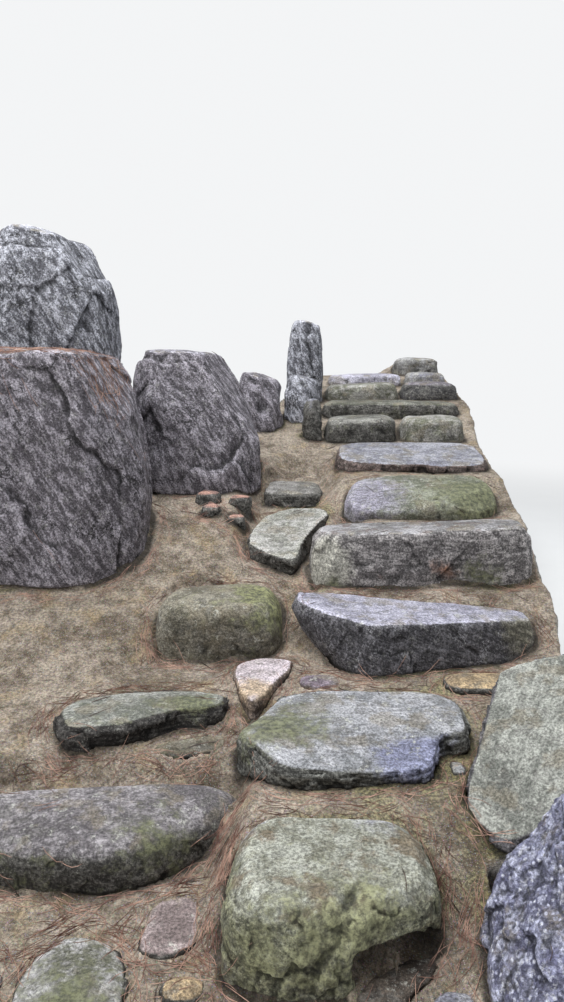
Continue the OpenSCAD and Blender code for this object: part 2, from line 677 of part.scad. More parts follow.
RUBBLE = [[-2.6, -3.2, 1], [-1.5, -2.25, 1.1], [-1.5, -3.5, 0.9], [-2.9, -2.15, 1.2]];
rubble_list = [for (k = [0:len(RUBBLE) - 1]) let (
    x = fifth_left_x + RUBBLE[k][0] * rubble_stone_w, y = left_front(5) + RUBBLE[k][1] * rubble_stone_d)
    [[x, y, seat(x + rubble_stone_w / 2, y)],
    [rubble_stone_w * RUBBLE[k][2], rubble_stone_d, rubble_stone_h * RUBBLE[k][2]], NUB,
    [0, 0, 3, 10, 0, 0, 5], 53 + k]];
ridge_stone_spec = [on_step(5, EDGE[5]), [ridge_stone_w, ridge_stone_d, ridge_stone_h],
    [[0, 0.4], [0.06, 0.15], [0.3, -0.02], [0.8, 0], [1, 0.25], [1.02, 0.75], [0.92, 1], [0.3, 1.03],
        [0.05, 0.85]],
    [ridge_stone_rise, 10, 10, 18, 14, 225, 6], 61];
fifth_left_spec = [on_left(5, fifth_left_x), [fifth_left_w, fifth_left_d, fifth_left_h],
    BLOCK, [fifth_left_rise, 0, 6, 18, 6, 270, 5], 62];
sixth_slab_spec = [on_step(6, EDGE[6]), [sixth_slab_w, sixth_slab_d, sixth_slab_h],
    [[0.02, 0.35], [0.1, 0.16], [0.38, 0.04], [0.55, 0.08], [0.62, -0.03], [0.93, 0], [1, 0.3], [1, 1],
        [0.5, 1.02], [0.05, 0.95]],
    [sixth_slab_rise, 0, 3, 10, 12, 270, 4], 71];
seventh_left_spec = [on_step(7, EDGE[7]), [seventh_left_w, seventh_left_d, seventh_left_h],
    [[0, 0.35], [0.05, 0.05], [0.6, -0.03], [0.9, 0.1], [1, 0.4], [0.98, 0.9], [0.7, 1], [0.05, 0.95]],
    [0, 10, 6, 20, 6, 270, 7], 81];
seventh_right_spec = [on_step(7, EDGE[7] + seventh_left_w + joint),
    [seventh_right_w, seventh_right_d, seventh_right_h],
    [[0, 0.4], [0.14, 0.08], [0.5, -0.02], [0.95, 0.05], [1, 0.35], [0.97, 1], [0.4, 1.02], [0.04, 0.85]],
    [0, 6, 10, 24, 8, 270, 8], 82];
eighth_stone_spec = [on_step(8, EDGE[8]), [eighth_stone_w, eighth_stone_d, eighth_stone_h],
    LONG, [0, -10, 4, 16, 12, 270, 6], 83];
ninth_left_spec = [on_step(9, EDGE[9]), [ninth_left_w, ninth_left_d, ninth_left_h],
    BLOCK, [0, 18, 6, 18, 6, 270, 6], 91];
ninth_right_spec = [on_step(9, EDGE[9] + ninth_left_w + joint), [ninth_right_w, ninth_right_d, ninth_right_h],
    [[0, 0.45], [0.12, 0.1], [0.5, -0.02], [0.92, 0.05], [1, 0.4], [0.96, 0.95], [0.4, 1.02], [0.06, 0.9]],
    [0, 0, 10, 26, 14, 270, 9], 92];
tenth_left_spec = [on_step(10, EDGE[10]), [tenth_left_w, tenth_left_d, tenth_left_h],
    LONG, [0, 8, 6, 16, 6, 270, 5], 101];
tenth_right_spec = [on_step(10, EDGE[10] + tenth_left_w + joint),
    [tenth_right_w, tenth_right_d, tenth_right_h],
    BLOCK, [0, 0, 6, 18, 6, 270, 6], 102];
top_stone_spec = [on_step(11, EDGE[11]), [top_stone_w, top_stone_d, top_stone_h],
    BLOCK, [0, 0, 8, 22, 6, 270, 8], 111];

function rooted(x, y, w, d) = [x, y, seat(x + w / 2, y + d / 4)];
bank_front_spec = [rooted(bank_front_x, bank_front_y, bank_front_w, bank_front_d),
    [bank_front_w, bank_front_d, bank_front_h], BOULDER, [0, -40, 10, 60, 0, 0, 34], 121];
bank_middle_spec = [rooted(bank_middle_x, bank_middle_y, bank_middle_w, bank_middle_d),
    [bank_middle_w, bank_middle_d, bank_middle_h], BOULDER, [0, -60, 10, 50, 0, 0, 30], 122];
bank_back_spec = [rooted(bank_back_x, bank_back_y, bank_back_w, bank_back_d),
    [bank_back_w, bank_back_d, bank_back_h], BOULDER, [0, 0, 0, 50, 0, 0, 0], 123];
bank_upper_spec = [[bank_back_x + 25, bank_back_y + 20, bank_back_spec[0][2] + bank_back_h + embed],
    [bank_upper_w, bank_upper_d, bank_upper_h], BOULDER, [0, -120, 10, 90, 0, 0, 36], 124];
bank_dark_spec = [rooted(bank_dark_x, front(7) + bank_dark_d / 2, bank_dark_w, bank_dark_d),
    [bank_dark_w, bank_dark_d, bank_dark_h], BOULDER, [0, -60, 6, 30, 0, 0, 20], 125];
bank_grey_spec = [rooted(bank_grey_x, front(8) - bank_grey_d / 3, bank_grey_w, bank_grey_d),
    [bank_grey_w, bank_grey_d, bank_grey_h], BOULDER, [0, -40, 6, 26, 0, 0, 16], 126];
wedge_stone_spec = [rooted(wedge_stone_x, front(7) + 2 * joint, wedge_stone_w, wedge_stone_d),
    [wedge_stone_w, wedge_stone_d, wedge_stone_h],
    [[0, 0.4], [0.3, 0], [1, 0.1], [1, 0.9], [0.5, 1]], [0, 0, 4, 12, 0, 0, 5], 127];
upright_stone_spec = [
    rooted(upright_stone_x, front(9) - upright_stone_d / 3, upright_stone_w, upright_stone_d),
    [upright_stone_w, upright_stone_d, upright_stone_h],
    [[0, 0.15], [0.45, 0], [1, 0.2], [1, 0.8], [0.6, 1], [0.05, 0.85]], [0, -50, 4, 18, 0, 0, 10], 128];

BEDDED = [foot_left_spec, foot_corner_spec, foot_right_spec, foot_riser_spec, cobble_spec,
    worn_stone_spec, front_boulder_spec, pillow_slab_spec, cleft_slab_spec, left_slab_spec,
    left_riser_spec, packing_stone_spec, pink_plate_spec, purple_chip_spec, ochre_stone_spec,
    side_flag_spec, side_boulder_spec, dark_stone_spec, mossy_boulder_spec, long_block_spec,
    tilted_slab_spec, each rubble_list, ridge_stone_spec, fifth_left_spec, sixth_slab_spec,
    seventh_left_spec, seventh_right_spec, eighth_stone_spec, ninth_left_spec, ninth_right_spec,
    tenth_left_spec, tenth_right_spec, top_stone_spec, bank_front_spec, bank_middle_spec,
    bank_back_spec, bank_dark_spec, bank_grey_spec, wedge_stone_spec, upright_stone_spec];

// Slices of the bedding: where each begins and ends, and its left and right edges there
foot_y = -front_reach - margin;
cut_foot = side_boulder_d - front_reach + back_joint / 2;
cut_flag = side_flag_y + side_flag_d + joint;
cut_bank = bank_front_y - joint;
cut_back = bank_back_y + bank_back_d + joint;
cut_high = front(9) - upright_stone_d / 3 - joint;
head_y = back(TOP) + landing;
boulder_edge = side_boulder_x + side_boulder_w / 10;
flag_edge = side_flag_x + side_flag_w + margin;
pillow_edge = pillow_slab_x - margin;
bank_edge = bank_front_x - margin;
bank_back_edge = bank_back_x - margin - base_flare;
high_edge = upright_stone_x - margin - base_flare;

// One slice of bedding: an uneven top on a grid, a flat underside and the stones' pockets. Its outer sides
// spread to the floor and show courses of rubble, half a stone on from course to course, with raked joints.
// The sides go anticlockwise from the front, seen from above. What another slice covers stays flat
OUT = [[0, -1, 0], [1, 0, 0], [0, 1, 0], [-1, 0, 0]];
grid = 92;
wobble = 0.12;
function fan(p) = [for (i = [1:len(p) - 2]) [p[0], p[i], p[i + 1]]];
function reversed(p) = [for (i = [len(p) - 1:-1:0]) p[i]];
function course_cuts(k, halves) = [each k % 2 == 0 ? [0:2:halves - 1] : [0, each [1:2:halves - 1]], halves];
module bed(y0, y1, left, right, cells, bare_front = 0, bare_right = 1, bare_back = -big) {
    rows = 2 * max(1, round((y1 - y0) / grid / 2));
    last = [cells, rows, cells, rows];
    bare_cells = 2 * floor((bare_back - left[1]) / (right[1] - left[1]) * cells / 2);
    from = [bare_front == 1 ? 0 : cells, bare_right == 1 ? 0 : rows, cells - max(0, bare_cells), 0];
    function rim(s, c) = [[c, 0], [cells, c], [cells - c, rows], [0, rows - c]][s];
    function place(q) = let (
        a = q[1] / rows, y = mix(y0, y1, a),
        x = mix(mix(left[0], left[1], a), mix(right[0], right[1], a), q[0] / cells))
        [x, y, bed_z(x, y)];
    layers = max(1, round((place([0, rows])[2] + place([cells, 0])[2]) / 2 / course_h));

    // A node of the joints has a side, a place along the rim and a course, and a corner belongs to two sides
    function outward(q, spreading) = let (
        c = [q[0], q[1], cells - q[0], rows - q[1]],
        on = [q[1] == 0, q[0] == cells, q[1] == rows, q[0] == 0],
        counts = [for (s = [0:3]) from[s] < last[s] && (spreading ? s % 2 == 1 : c[s] >= from[s])])
        [for (s = [0:3]) on[s] && counts[s] ? 1 : 0] * OUT;
    function along(s) = let (v = place(rim(s, last[s])) - place(rim(s, 0)))
        [v[0], v[1], 0] / norm([v[0], v[1]]);
    function joint_node(s, c, k) = let (
        q = rim(s, c),
        p = place(q),
        free = c > from[s] && c < last[s] ? wobble : 0,
        up = (k + (k > 0 ? free * sin(200 * c + 130 * k) : 0)) / layers,
        slide = 2 * free * grid * sin(110 * c + 250 * k))
        k == layers ? p : [p[0], p[1], up * p[2]] + (1 - up) * base_flare * outward(q, true)
            - rake * outward(q, false) + slide * along(s);
    function rubble(s, k, c0, c1) = let (
        topmost = k + 1 == layers,
        low = [for (c = [c0:2:c1]) joint_node(s, c, k)],
        high = [for (c = [c0:topmost ? 1 : 2:c1]) joint_node(s, c, k + 1)],
        end = [low[len(low) - 1], high[len(high) - 1]],
        side = rake * along(s),
        lift = [0, 0, rake],
        out = rake * OUT[s],
        out_high = topmost ? [0, 0, 0] : out,
        a = low[0] + out + side + lift,
        b = high[0] + out_high + side - lift,
        c = end[1] + out_high - side - lift,
        d = end[0] + out - side + lift)
        [each fan([a, b, c, d]),
        each fan([low[0], high[0], b, a]),
        each fan([d, c, end[1], end[0]]),
        each fan([b, each high, c]),
        each fan([d, each reversed(low), a])];
    function wall(s) = [
        for (k = [0:layers - 1]) let (cuts = course_cuts(k, (last[s] - from[s]) / 2))
            for (i = [1:len(cuts) - 1]) each rubble(s, k, from[s] + 2 * cuts[i - 1], from[s] + 2 * cuts[i])];

    // The flat stretch of a side goes up to where its rubble starts
    function foot(s, c) = let (p = place(rim(s, c))) [p[0], p[1], 0];
    function flat(s) = let (stop = from[s] == last[s] ? last[s] - 1 : from[s]) [
        each fan([foot(s, 1), for (k = [0:layers]) joint_node(s, 0, k), place(rim(s, 1))]),
        for (c = [1:stop - 1]) each fan([foot(s, c), place(rim(s, c)), place(rim(s, c + 1)), foot(s, c + 1)]),
        if (from[s] == last[s]) each fan([foot(s, stop), place(rim(s, stop)),
            for (k = [layers:-1:0]) joint_node(s, last[s], k)])
        else each fan([foot(s, stop), for (k = [layers:-1:0]) joint_node(s, stop, k)])];
    floor_ring = [for (s = [0:3]) each [
        if (from[s] > 0) joint_node(s, 0, 0),
        if (from[s] > 0) each [for (c = [1:min(from[s], last[s] - 1)]) foot(s, c)],
        if (from[s] < last[s]) each [for (c = [from[s]:2:last[s] - 1]) joint_node(s, c, 0)]]];
    middle = [mix(left[0], right[1], 0.5), mix(y0, y1, 0.5), 0];
    triangles = [
        for (j = [0:rows - 1]) for (i = [0:cells - 1])
            each fan([place([i, j]), place([i, j + 1]), place([i + 1, j + 1]), place([i + 1, j])]),
        for (s = [0:3]) each from[s] < last[s] ? wall(s) : [],
        for (s = [0:3]) each from[s] > 0 ? flat(s) : [],
        for (k = [0:len(floor_ring) - 1]) [middle, floor_ring[k], floor_ring[(k + 1) % len(floor_ring)]]];
    difference() {
        polyhedron([for (t = triangles) each t],
            [for (k = [0:len(triangles) - 1]) [3 * k, 3 * k + 1, 3 * k + 2]]);
        for (s = BEDDED) if (s[0][1] < y1 && s[0][1] + s[1][1] > y0) {
            pocket(s);
            if (s[3][4] > margin) stone(s);
        }
    }
}

module bed_foot() color("#8a7a5e")
    bed(foot_y, cut_foot, [foot_corner_x - margin, pillow_edge], [boulder_edge, boulder_edge], 12,
        bare_front = 1, bare_right = 0);
module bed_lower() color("#8c7b5c")
    bed(cut_foot, cut_flag, [pillow_edge, pillow_edge], [flag_edge, flag_edge], 18);
module bed_middle() color("#8f7e60")
    bed(cut_flag, cut_bank, [pillow_edge, bank_edge], [RIGHT[3] + margin, RIGHT[4] + margin], 18);
module bed_upper() color("#86775c")
    bed(cut_bank, cut_back, [bank_edge, bank_back_edge], [RIGHT[4] + margin, RIGHT[6] + margin], 20,
        bare_back = bank_dark_x - margin - base_flare);
module bed_high() color("#83755a")
    bed(cut_back, cut_high, [bank_dark_x - margin, high_edge], [RIGHT[6] + margin, RIGHT[9] + margin], 12);
module bed_head() color("#857659")
    bed(cut_high, head_y, [high_edge, EDGE[10] - margin], [RIGHT[9] + margin, RIGHT[11] + margin], 12,
        bare_back = RIGHT[11] + margin);

module foot_left() color("#6f7264") stone(foot_left_spec);
module foot_corner() color("#6a7280") stone(foot_corner_spec);
module foot_right() color("#6c7178") stone(foot_right_spec);
module foot_riser() color("#6b5d49") stone(foot_riser_spec);
module cobble() color("#a5814f") stone(cobble_spec);
module worn_stone() color("#7d6f66") stone(worn_stone_spec);

// The boulder's right front hangs over the foot riser, and a groove runs slantwise down its face
undercut_x = (foot_riser_x + joint - EDGE[1]) / front_boulder_w;
groove = 20;
GROOVE = [[0.58, 0.22, 1.02], [0.52, 0.06, 0.93], [0.47, 0, 0.7], [0.39, -0.01, 0.05]];
module front_boulder() color("#6c7350") difference() {
    stone(front_boulder_spec);
    pocket(foot_riser_spec, joint);
    translate(spot(front_boulder_spec, undercut_x, -0.1, 0.04)) rotate([0, 0, 10])
        cube([front_boulder_w, front_boulder_d * 0.42, front_boulder_h * 0.44]);
    for (k = [1:len(GROOVE) - 1]) hull() for (g = [GROOVE[k - 1], GROOVE[k]])
        translate(spot(front_boulder_spec, g[0], g[1], g[2])) rotate([0, 0, 45]) cube(groove, center = true);
}
module pillow_slab() color("#6d7062") stone(pillow_slab_spec);

// The slab's right front is split off along a lower bed of the rock, and its corners are broken
module cleft_slab() color("#6f7468") difference() {
    stone(cleft_slab_spec);
    split(spot(cleft_slab_spec, 0.62, 0.4, 1.03), 282, 81);
    split(spot(cleft_slab_spec, 0.08, 0.2, 0.7), 222, 30);
}
module left_slab() color("#5f6355") stone(left_slab_spec);
module left_riser() color("#66664a") stone(left_riser_spec);
module packing_stone() color("#6c6f6c") stone(packing_stone_spec);
module pink_plate() color("#b5a196") stone(pink_plate_spec);
module purple_chip() color("#6d5f6b") stone(purple_chip_spec);
module ochre_stone() color("#9a8358") stone(ochre_stone_spec);

// Steep facets run down from the flag's lower edge
module side_flag() color("#6b7062") difference() {
    stone(side_flag_spec);
    split(spot(side_flag_spec, 0.12, 0.26, 1.5), 222, 58);
}
module side_boulder() color("#6e7280") difference() {
    boulder(side_boulder_spec);
    split(spot(side_boulder_spec, 0.12, 0.5, 0.5), 190, 36);
    split(spot(side_boulder_spec, 0.4, 0.1, 0.6), 245, 40);
}

// The left end leans out over the bedding, and two steep split faces meet at the stone's prow
module dark_stone() color("#4a4c4f") difference() {
    stone(dark_stone_spec);
    split(spot(dark_stone_spec, 0.6, 0.33, 0.9), 286, 12);
    split(spot(dark_stone_spec, 0.2, 0.1, 0.9), 240, 8);
}
module mossy_boulder() color("#565b40") stone(mossy_boulder_spec);

// The left end is a broken oval facet
module long_block() color("#54554f") difference() {
    stone(long_block_spec);
    split(spot(long_block_spec, 0.07, 0.16, 0.6), 226, 12);
}
module tilted_slab() color("#62665a") stone(tilted_slab_spec);
module rubble_stones() color("#7a5a4c") for (s = rubble_list) stone(s);

// A ridge runs across the stone: its front left and its right side fall away from it
module ridge_stone() color("#5f6455") difference() {
    stone(ridge_stone_spec);
    split(spot(ridge_stone_spec, 0.3, 0.3, 1.45), 255, 62);
    split(spot(ridge_stone_spec, 0.75, 0.2, 1.3), 292, 50);
}
module fifth_left() color("#646860") stone(fifth_left_spec);
module sixth_slab() color("#6b6e6a") stone(sixth_slab_spec);
module seventh_left() color("#585b48") stone(seventh_left_spec);
module seventh_right() color("#5f614f") stone(seventh_right_spec);
module eighth_stone() color("#5a5c46") stone(eighth_stone_spec);
module ninth_left() color("#606054") stone(ninth_left_spec);
module ninth_right() color("#4f4f56") stone(ninth_right_spec);
module tenth_left() color("#6a6a70") stone(tenth_left_spec);
module tenth_right() color("#73737a") stone(tenth_right_spec);
module top_stone() color("#64665c") stone(top_stone_spec);

// The bank's boulders broke along steep planes that face the steps
module bank_front() color("#504e52") difference() {
    boulder(bank_front_spec);
    split(spot(bank_front_spec, 0.4, 0.03, 0.55), 266, 14);
    split(spot(bank_front_spec, 0.86, 0.3, 0.78), 340, 30);
    split(spot(bank_front_spec, 0.3, 0.4, 0.99), 250, 76);
}
module bank_middle() color("#4c4b50") difference() {
    boulder(bank_middle_spec);
    split(spot(bank_middle_spec, 0.5, 0.08, 0.5), 283, 22);
    split(spot(bank_middle_spec, 0.86, 0.4, 0.5), 345, 33);
    split(spot(bank_middle_spec, 0.2, 0.1, 0.7), 225, 16);
}
module bank_back() color("#545458") boulder(bank_back_spec);
module bank_upper() color("#6c6e74") difference() {
    boulder(bank_upper_spec);
    split(spot(bank_upper_spec, 0.5, 0.05, 0.5), 275, 18);
    split(spot(bank_upper_spec, 0.85, 0.4, 0.6), 345, 34);
    split(spot(bank_upper_spec, 0.5, 0.3, 0.95), 285, 62);
}
module bank_dark() color("#47464a") difference() {
    boulder(bank_dark_spec);
    split(spot(bank_dark_spec, 0.4, 0.08, 0.6), 255, 22);
    split(spot(bank_dark_spec, 0.8, 0.3, 0.7), 320, 28);
}
module bank_grey() color("#5d5e60") difference() {
    boulder(bank_grey_spec);
    split(spot(bank_grey_spec, 0.5, 0.1, 0.7), 285, 26);
}

// Two planes lean together at the wedge's crest
module wedge_stone() color("#5a5a5c") difference() {
    boulder(wedge_stone_spec);
    split(spot(wedge_stone_spec, 0.3, 0.4, 0.9), 220, 40);
    split(spot(wedge_stone_spec, 0.7, 0.4, 0.85), 320, 34);
}
module upright_stone() color("#6a6560") difference() {
    boulder(upright_stone_spec);
    split(spot(upright_stone_spec, 0.4, 0.08, 0.9), 250, 6);
    split(spot(upright_stone_spec, 0.3, 0.4, 0.95), 200, 50);
}

bed_foot();
bed_lower();
bed_middle();
bed_upper();
bed_high();
bed_head();
foot_left();
foot_corner();
foot_right();
foot_riser();
cobble();
worn_stone();
front_boulder();
pillow_slab();
cleft_slab();
left_slab();
left_riser();
packing_stone();
pink_plate();
purple_chip();
ochre_stone();
side_flag();
side_boulder();
dark_stone();
mossy_boulder();
long_block();
tilted_slab();
rubble_stones();
ridge_stone();
fifth_left();
sixth_slab();
seventh_left();
seventh_right();
eighth_stone();
ninth_left();
ninth_right();
tenth_left();
tenth_right();
top_stone();
bank_front();
bank_middle();
bank_back();
bank_upper();
bank_dark();
bank_grey();
wedge_stone();
upright_stone();
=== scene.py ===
import json
import math
import random

import bpy
import numpy as np
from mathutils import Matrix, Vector
from mathutils.bvhtree import BVHTree


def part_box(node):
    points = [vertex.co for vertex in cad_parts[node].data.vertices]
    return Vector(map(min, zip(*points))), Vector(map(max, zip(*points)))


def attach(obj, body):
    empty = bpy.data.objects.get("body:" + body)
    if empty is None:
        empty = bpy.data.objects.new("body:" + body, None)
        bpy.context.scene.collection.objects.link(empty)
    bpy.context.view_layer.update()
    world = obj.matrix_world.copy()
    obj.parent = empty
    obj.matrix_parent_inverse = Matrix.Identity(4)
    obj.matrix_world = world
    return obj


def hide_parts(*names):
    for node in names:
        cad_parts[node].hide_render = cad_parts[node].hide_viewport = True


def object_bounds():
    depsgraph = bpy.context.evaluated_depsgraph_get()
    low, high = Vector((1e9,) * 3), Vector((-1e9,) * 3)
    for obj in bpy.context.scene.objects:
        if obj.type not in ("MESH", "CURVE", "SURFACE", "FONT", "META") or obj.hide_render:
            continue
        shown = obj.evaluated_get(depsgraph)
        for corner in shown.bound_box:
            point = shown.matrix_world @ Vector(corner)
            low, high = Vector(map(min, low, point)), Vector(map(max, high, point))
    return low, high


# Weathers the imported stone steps: carved stones, mortar bedding, rubble sides, litter, camera and light

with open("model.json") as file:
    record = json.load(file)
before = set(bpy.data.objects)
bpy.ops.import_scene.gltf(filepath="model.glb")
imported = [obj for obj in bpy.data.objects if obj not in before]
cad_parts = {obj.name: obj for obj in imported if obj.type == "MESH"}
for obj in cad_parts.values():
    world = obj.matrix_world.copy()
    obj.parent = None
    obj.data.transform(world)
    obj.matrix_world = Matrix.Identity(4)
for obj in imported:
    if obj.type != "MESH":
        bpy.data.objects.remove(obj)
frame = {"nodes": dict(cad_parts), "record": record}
cad_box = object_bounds()

MM = 0.001
COARSER = 1.0
EYE = Vector((-0.100, -1.250, 1.400))
PHOTO_HEIGHT = 1002
FOCAL_PIXELS = 752
SENSOR = 36
LOOK_DOWN = 11.354
SLOT = {part["node"]: part["material_slot"] for part in frame["record"]["subparts"]}
BEDS = [node for node in SLOT if SLOT[node] == "bedding"]
STONES = [node for node in SLOT if SLOT[node] != "bedding"]

scene = bpy.context.scene
scene.view_settings.view_transform = "Standard"

# The camera stands on the path in front of the foot stones, at eye level, and looks slightly down
cam_data = bpy.data.cameras.new("camera")
cam_data.sensor_fit = "AUTO"
cam_data.sensor_width = SENSOR
cam_data.lens = FOCAL_PIXELS / PHOTO_HEIGHT * SENSOR
camera = bpy.data.objects.new("camera", cam_data)
camera.location = EYE
camera.rotation_euler = (math.radians(90 - LOOK_DOWN), 0, 0)
scene.collection.objects.link(camera)
scene.camera = camera


# Noise

MASK = 0xFFFFFFFF
CORNERS = np.array([(x, y, z) for x in (0, 1) for y in (0, 1) for z in (0, 1)])
NEIGHBOURS = np.array([(x, y, z) for x in (-1, 0, 1) for y in (-1, 0, 1) for z in (-1, 0, 1)])
TURN = np.array([(0.36, 0.48, -0.80), (-0.80, 0.60, 0.0), (0.48, 0.64, 0.60)])
FINER_IS_LOWER = 1.7
ROUGH_SUM = 1.6


def smooth(t):
    return t * t * (3 - 2 * t)


def scatter(cell, seed):
    """A repeatable random number from 0 to 1 for each whole-number lattice point."""
    n = (cell[:, 0] * 374761393 + cell[:, 1] * 668265263 + cell[:, 2] * 1442695041 + seed * 1013904223) & MASK
    n = ((n ^ (n >> 15)) * 1274126177) & MASK
    n = ((n ^ (n >> 13)) * 1597334677) & MASK
    return (n ^ (n >> 16)) / MASK


def pick(number, seed):
    """A repeatable random number from 0 to 1 for each whole number."""
    return scatter(np.stack([number, number * 0, number * 0], axis=1).astype(np.int64), seed)


def noise(p, size, seed):
    """Smooth noise from -1 to 1 whose bumps are about size metres apart."""
    q = p / size
    cell = np.floor(q).astype(np.int64)
    f = smooth(q - cell)
    total = np.zeros(len(p))
    for corner in CORNERS:
        total += np.prod(np.where(corner, f, 1 - f), axis=1) * scatter(cell + corner, seed)
    return 2 * total - 1


def rough(p, size, seed, octaves):
    """Noise with finer and finer bumps on it."""
    total = np.zeros(len(p))
    for k in range(octaves):
        total += noise(p, size / 2**k, seed + k) / FINER_IS_LOWER**k
        p = p @ TURN
    return total / ROUGH_SUM


def cells(p, size, seed):
    """Points scattered about size apart: how far the nearest is, its place and its random mark."""
    q = p / size
    base = np.floor(q).astype(np.int64)
    closest = np.full(len(p), np.inf)
    place = np.zeros_like(q)
    mark = np.zeros(len(p))
    for step in NEIGHBOURS:
        cell = base + step
        point = cell + np.stack([scatter(cell, seed + k) for k in range(3)], axis=1)
        away = np.linalg.norm(point - q, axis=1)
        closer = away < closest
        closest = np.where(closer, away, closest)
        place[closer] = point[closer]
        mark = np.where(closer, scatter(cell, seed + 3), mark)
    return closest * size, place * size, mark


def chips(p, size, seed):
    """Broken facets: each scattered point tilts the surface round it its own way, by -1 to 1."""
    place, mark = cells(p, size, seed)[1:]
    turn, tip = math.tau * mark, (mark * 7) % 1 * 2 - 1
    flat = np.sqrt(1 - tip * tip)
    way = np.stack([np.cos(turn) * flat, np.sin(turn) * flat, tip], axis=1)
    return np.clip(((p - place) * way).sum(axis=1) / size * 2, -1, 1)


def rise(value, low, high):
    """0 below low, 1 above high, and smooth between."""
    return smooth(np.clip((value - low) / (high - low), 0, 1))


# Meshes

RELAX_SHARE = 0.6
SPARE_FACTOR = 2


def rows(data, field, width, kind=np.float32):
    values = np.empty(len(data) * width, kind)
    data.foreach_get(field, values)
    return values.reshape(-1, width)


def points_of(mesh):
    return rows(mesh.vertices, "co", 3).astype(float)


def normals_of(mesh):
    return rows(mesh.vertex_normals, "vector", 3).astype(float)


def put(mesh, points):
    mesh.vertices.foreach_set("co", points.astype(np.float32).ravel())
    mesh.update()


def paint(mesh, name, values):
    data = mesh.attributes.new(name, "FLOAT", "POINT").data
    data.foreach_set("value", np.clip(values, 0, 1).astype(np.float32))


def cad_mesh(nodes):
    """The points and triangles of some CAD nodes, together."""
    points, faces, count = [], [], 0
    for node in nodes:
        mesh = frame["nodes"][node].data
        mesh.calc_loop_triangles()
        points.append(points_of(mesh))
        faces.append(rows(mesh.loop_triangles, "vertices", 3, np.int32) + count)
        count += len(mesh.vertices)
    return np.concatenate(points), np.concatenate(faces)


def apply_modifiers(obj):
    old = obj.data
    obj.data = bpy.data.meshes.new_from_object(obj.evaluated_get(bpy.context.evaluated_depsgraph_get()))
    obj.modifiers.clear()
    bpy.data.meshes.remove(old)


def piece(name, points, faces, slot, material=None):
    """A new piece of the steps, which rides on them and takes the given material, if any; its slot is not
    used.
    """
    mesh = bpy.data.meshes.new(name)
    mesh.from_pydata(points.tolist(), [], faces.tolist())
    obj = bpy.data.objects.new(name, mesh)
    scene.collection.objects.link(obj)
    if material:
        mesh.materials.append(material)
    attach(obj, "root")
    return obj


def even_mesh(name, points, faces, slot, voxel):
    """Closed forms, which may overlap, as one closed mesh of small even faces."""
    obj = piece(name, points, faces, slot)
    remesh = obj.modifiers.new("voxels", "REMESH")
    remesh.mode = "VOXEL"
    remesh.voxel_size = voxel
    apply_modifiers(obj)
    return obj


def relax(mesh, points, rounds):
    """Moves each point towards the middle of its neighbours."""
    a, b = rows(mesh.edges, "vertices", 2, np.int32).T
    count = len(points)
    share = np.bincount(a, minlength=count) + np.bincount(b, minlength=count)
    for _ in range(rounds):
        sums = [np.bincount(a, points[b, k], count) + np.bincount(b, points[a, k], count) for k in range(3)]
        points = points + RELAX_SHARE * (np.stack(sums, axis=1) / share[:, None] - points)
    return points


def thin(obj, triangles, spare=None):
    """Brings a mesh down to about so many triangles, first where spare is 1, and lifts what dips below 0."""
    mesh = obj.data
    have = sum(len(face.vertices) - 2 for face in mesh.polygons)
    if have > triangles:
        fewer = obj.modifiers.new("fewer", "DECIMATE")
        fewer.ratio = triangles / have
        if spare is not None:
            group = obj.vertex_groups.new(name="spare")
            for level in range(1, 11):
                group.add(np.flatnonzero(np.round(spare * 10) == level).tolist(), level / 10, "REPLACE")
            fewer.vertex_group = group.name
            fewer.vertex_group_factor = SPARE_FACTOR
        apply_modifiers(obj)
        obj.vertex_groups.clear()
        points = points_of(obj.data)
        points[:, 2] = np.maximum(points[:, 2], 0)
        put(obj.data, points)


def nearest(tree, points, most):
    """How far each point is from a surface, up to most, and the face that is nearest, or 0."""
    found = [tree.find_nearest(at, most)[2:] for at in points.tolist()]
    return np.array([(most, 0) if face is None else (away, face) for face, away in found]).T


def dress(obj, material):
    """Smooth faces and one material."""
    obj.data.materials.clear()
    obj.data.materials.append(material)
    obj.data.shade_smooth()


# Materials


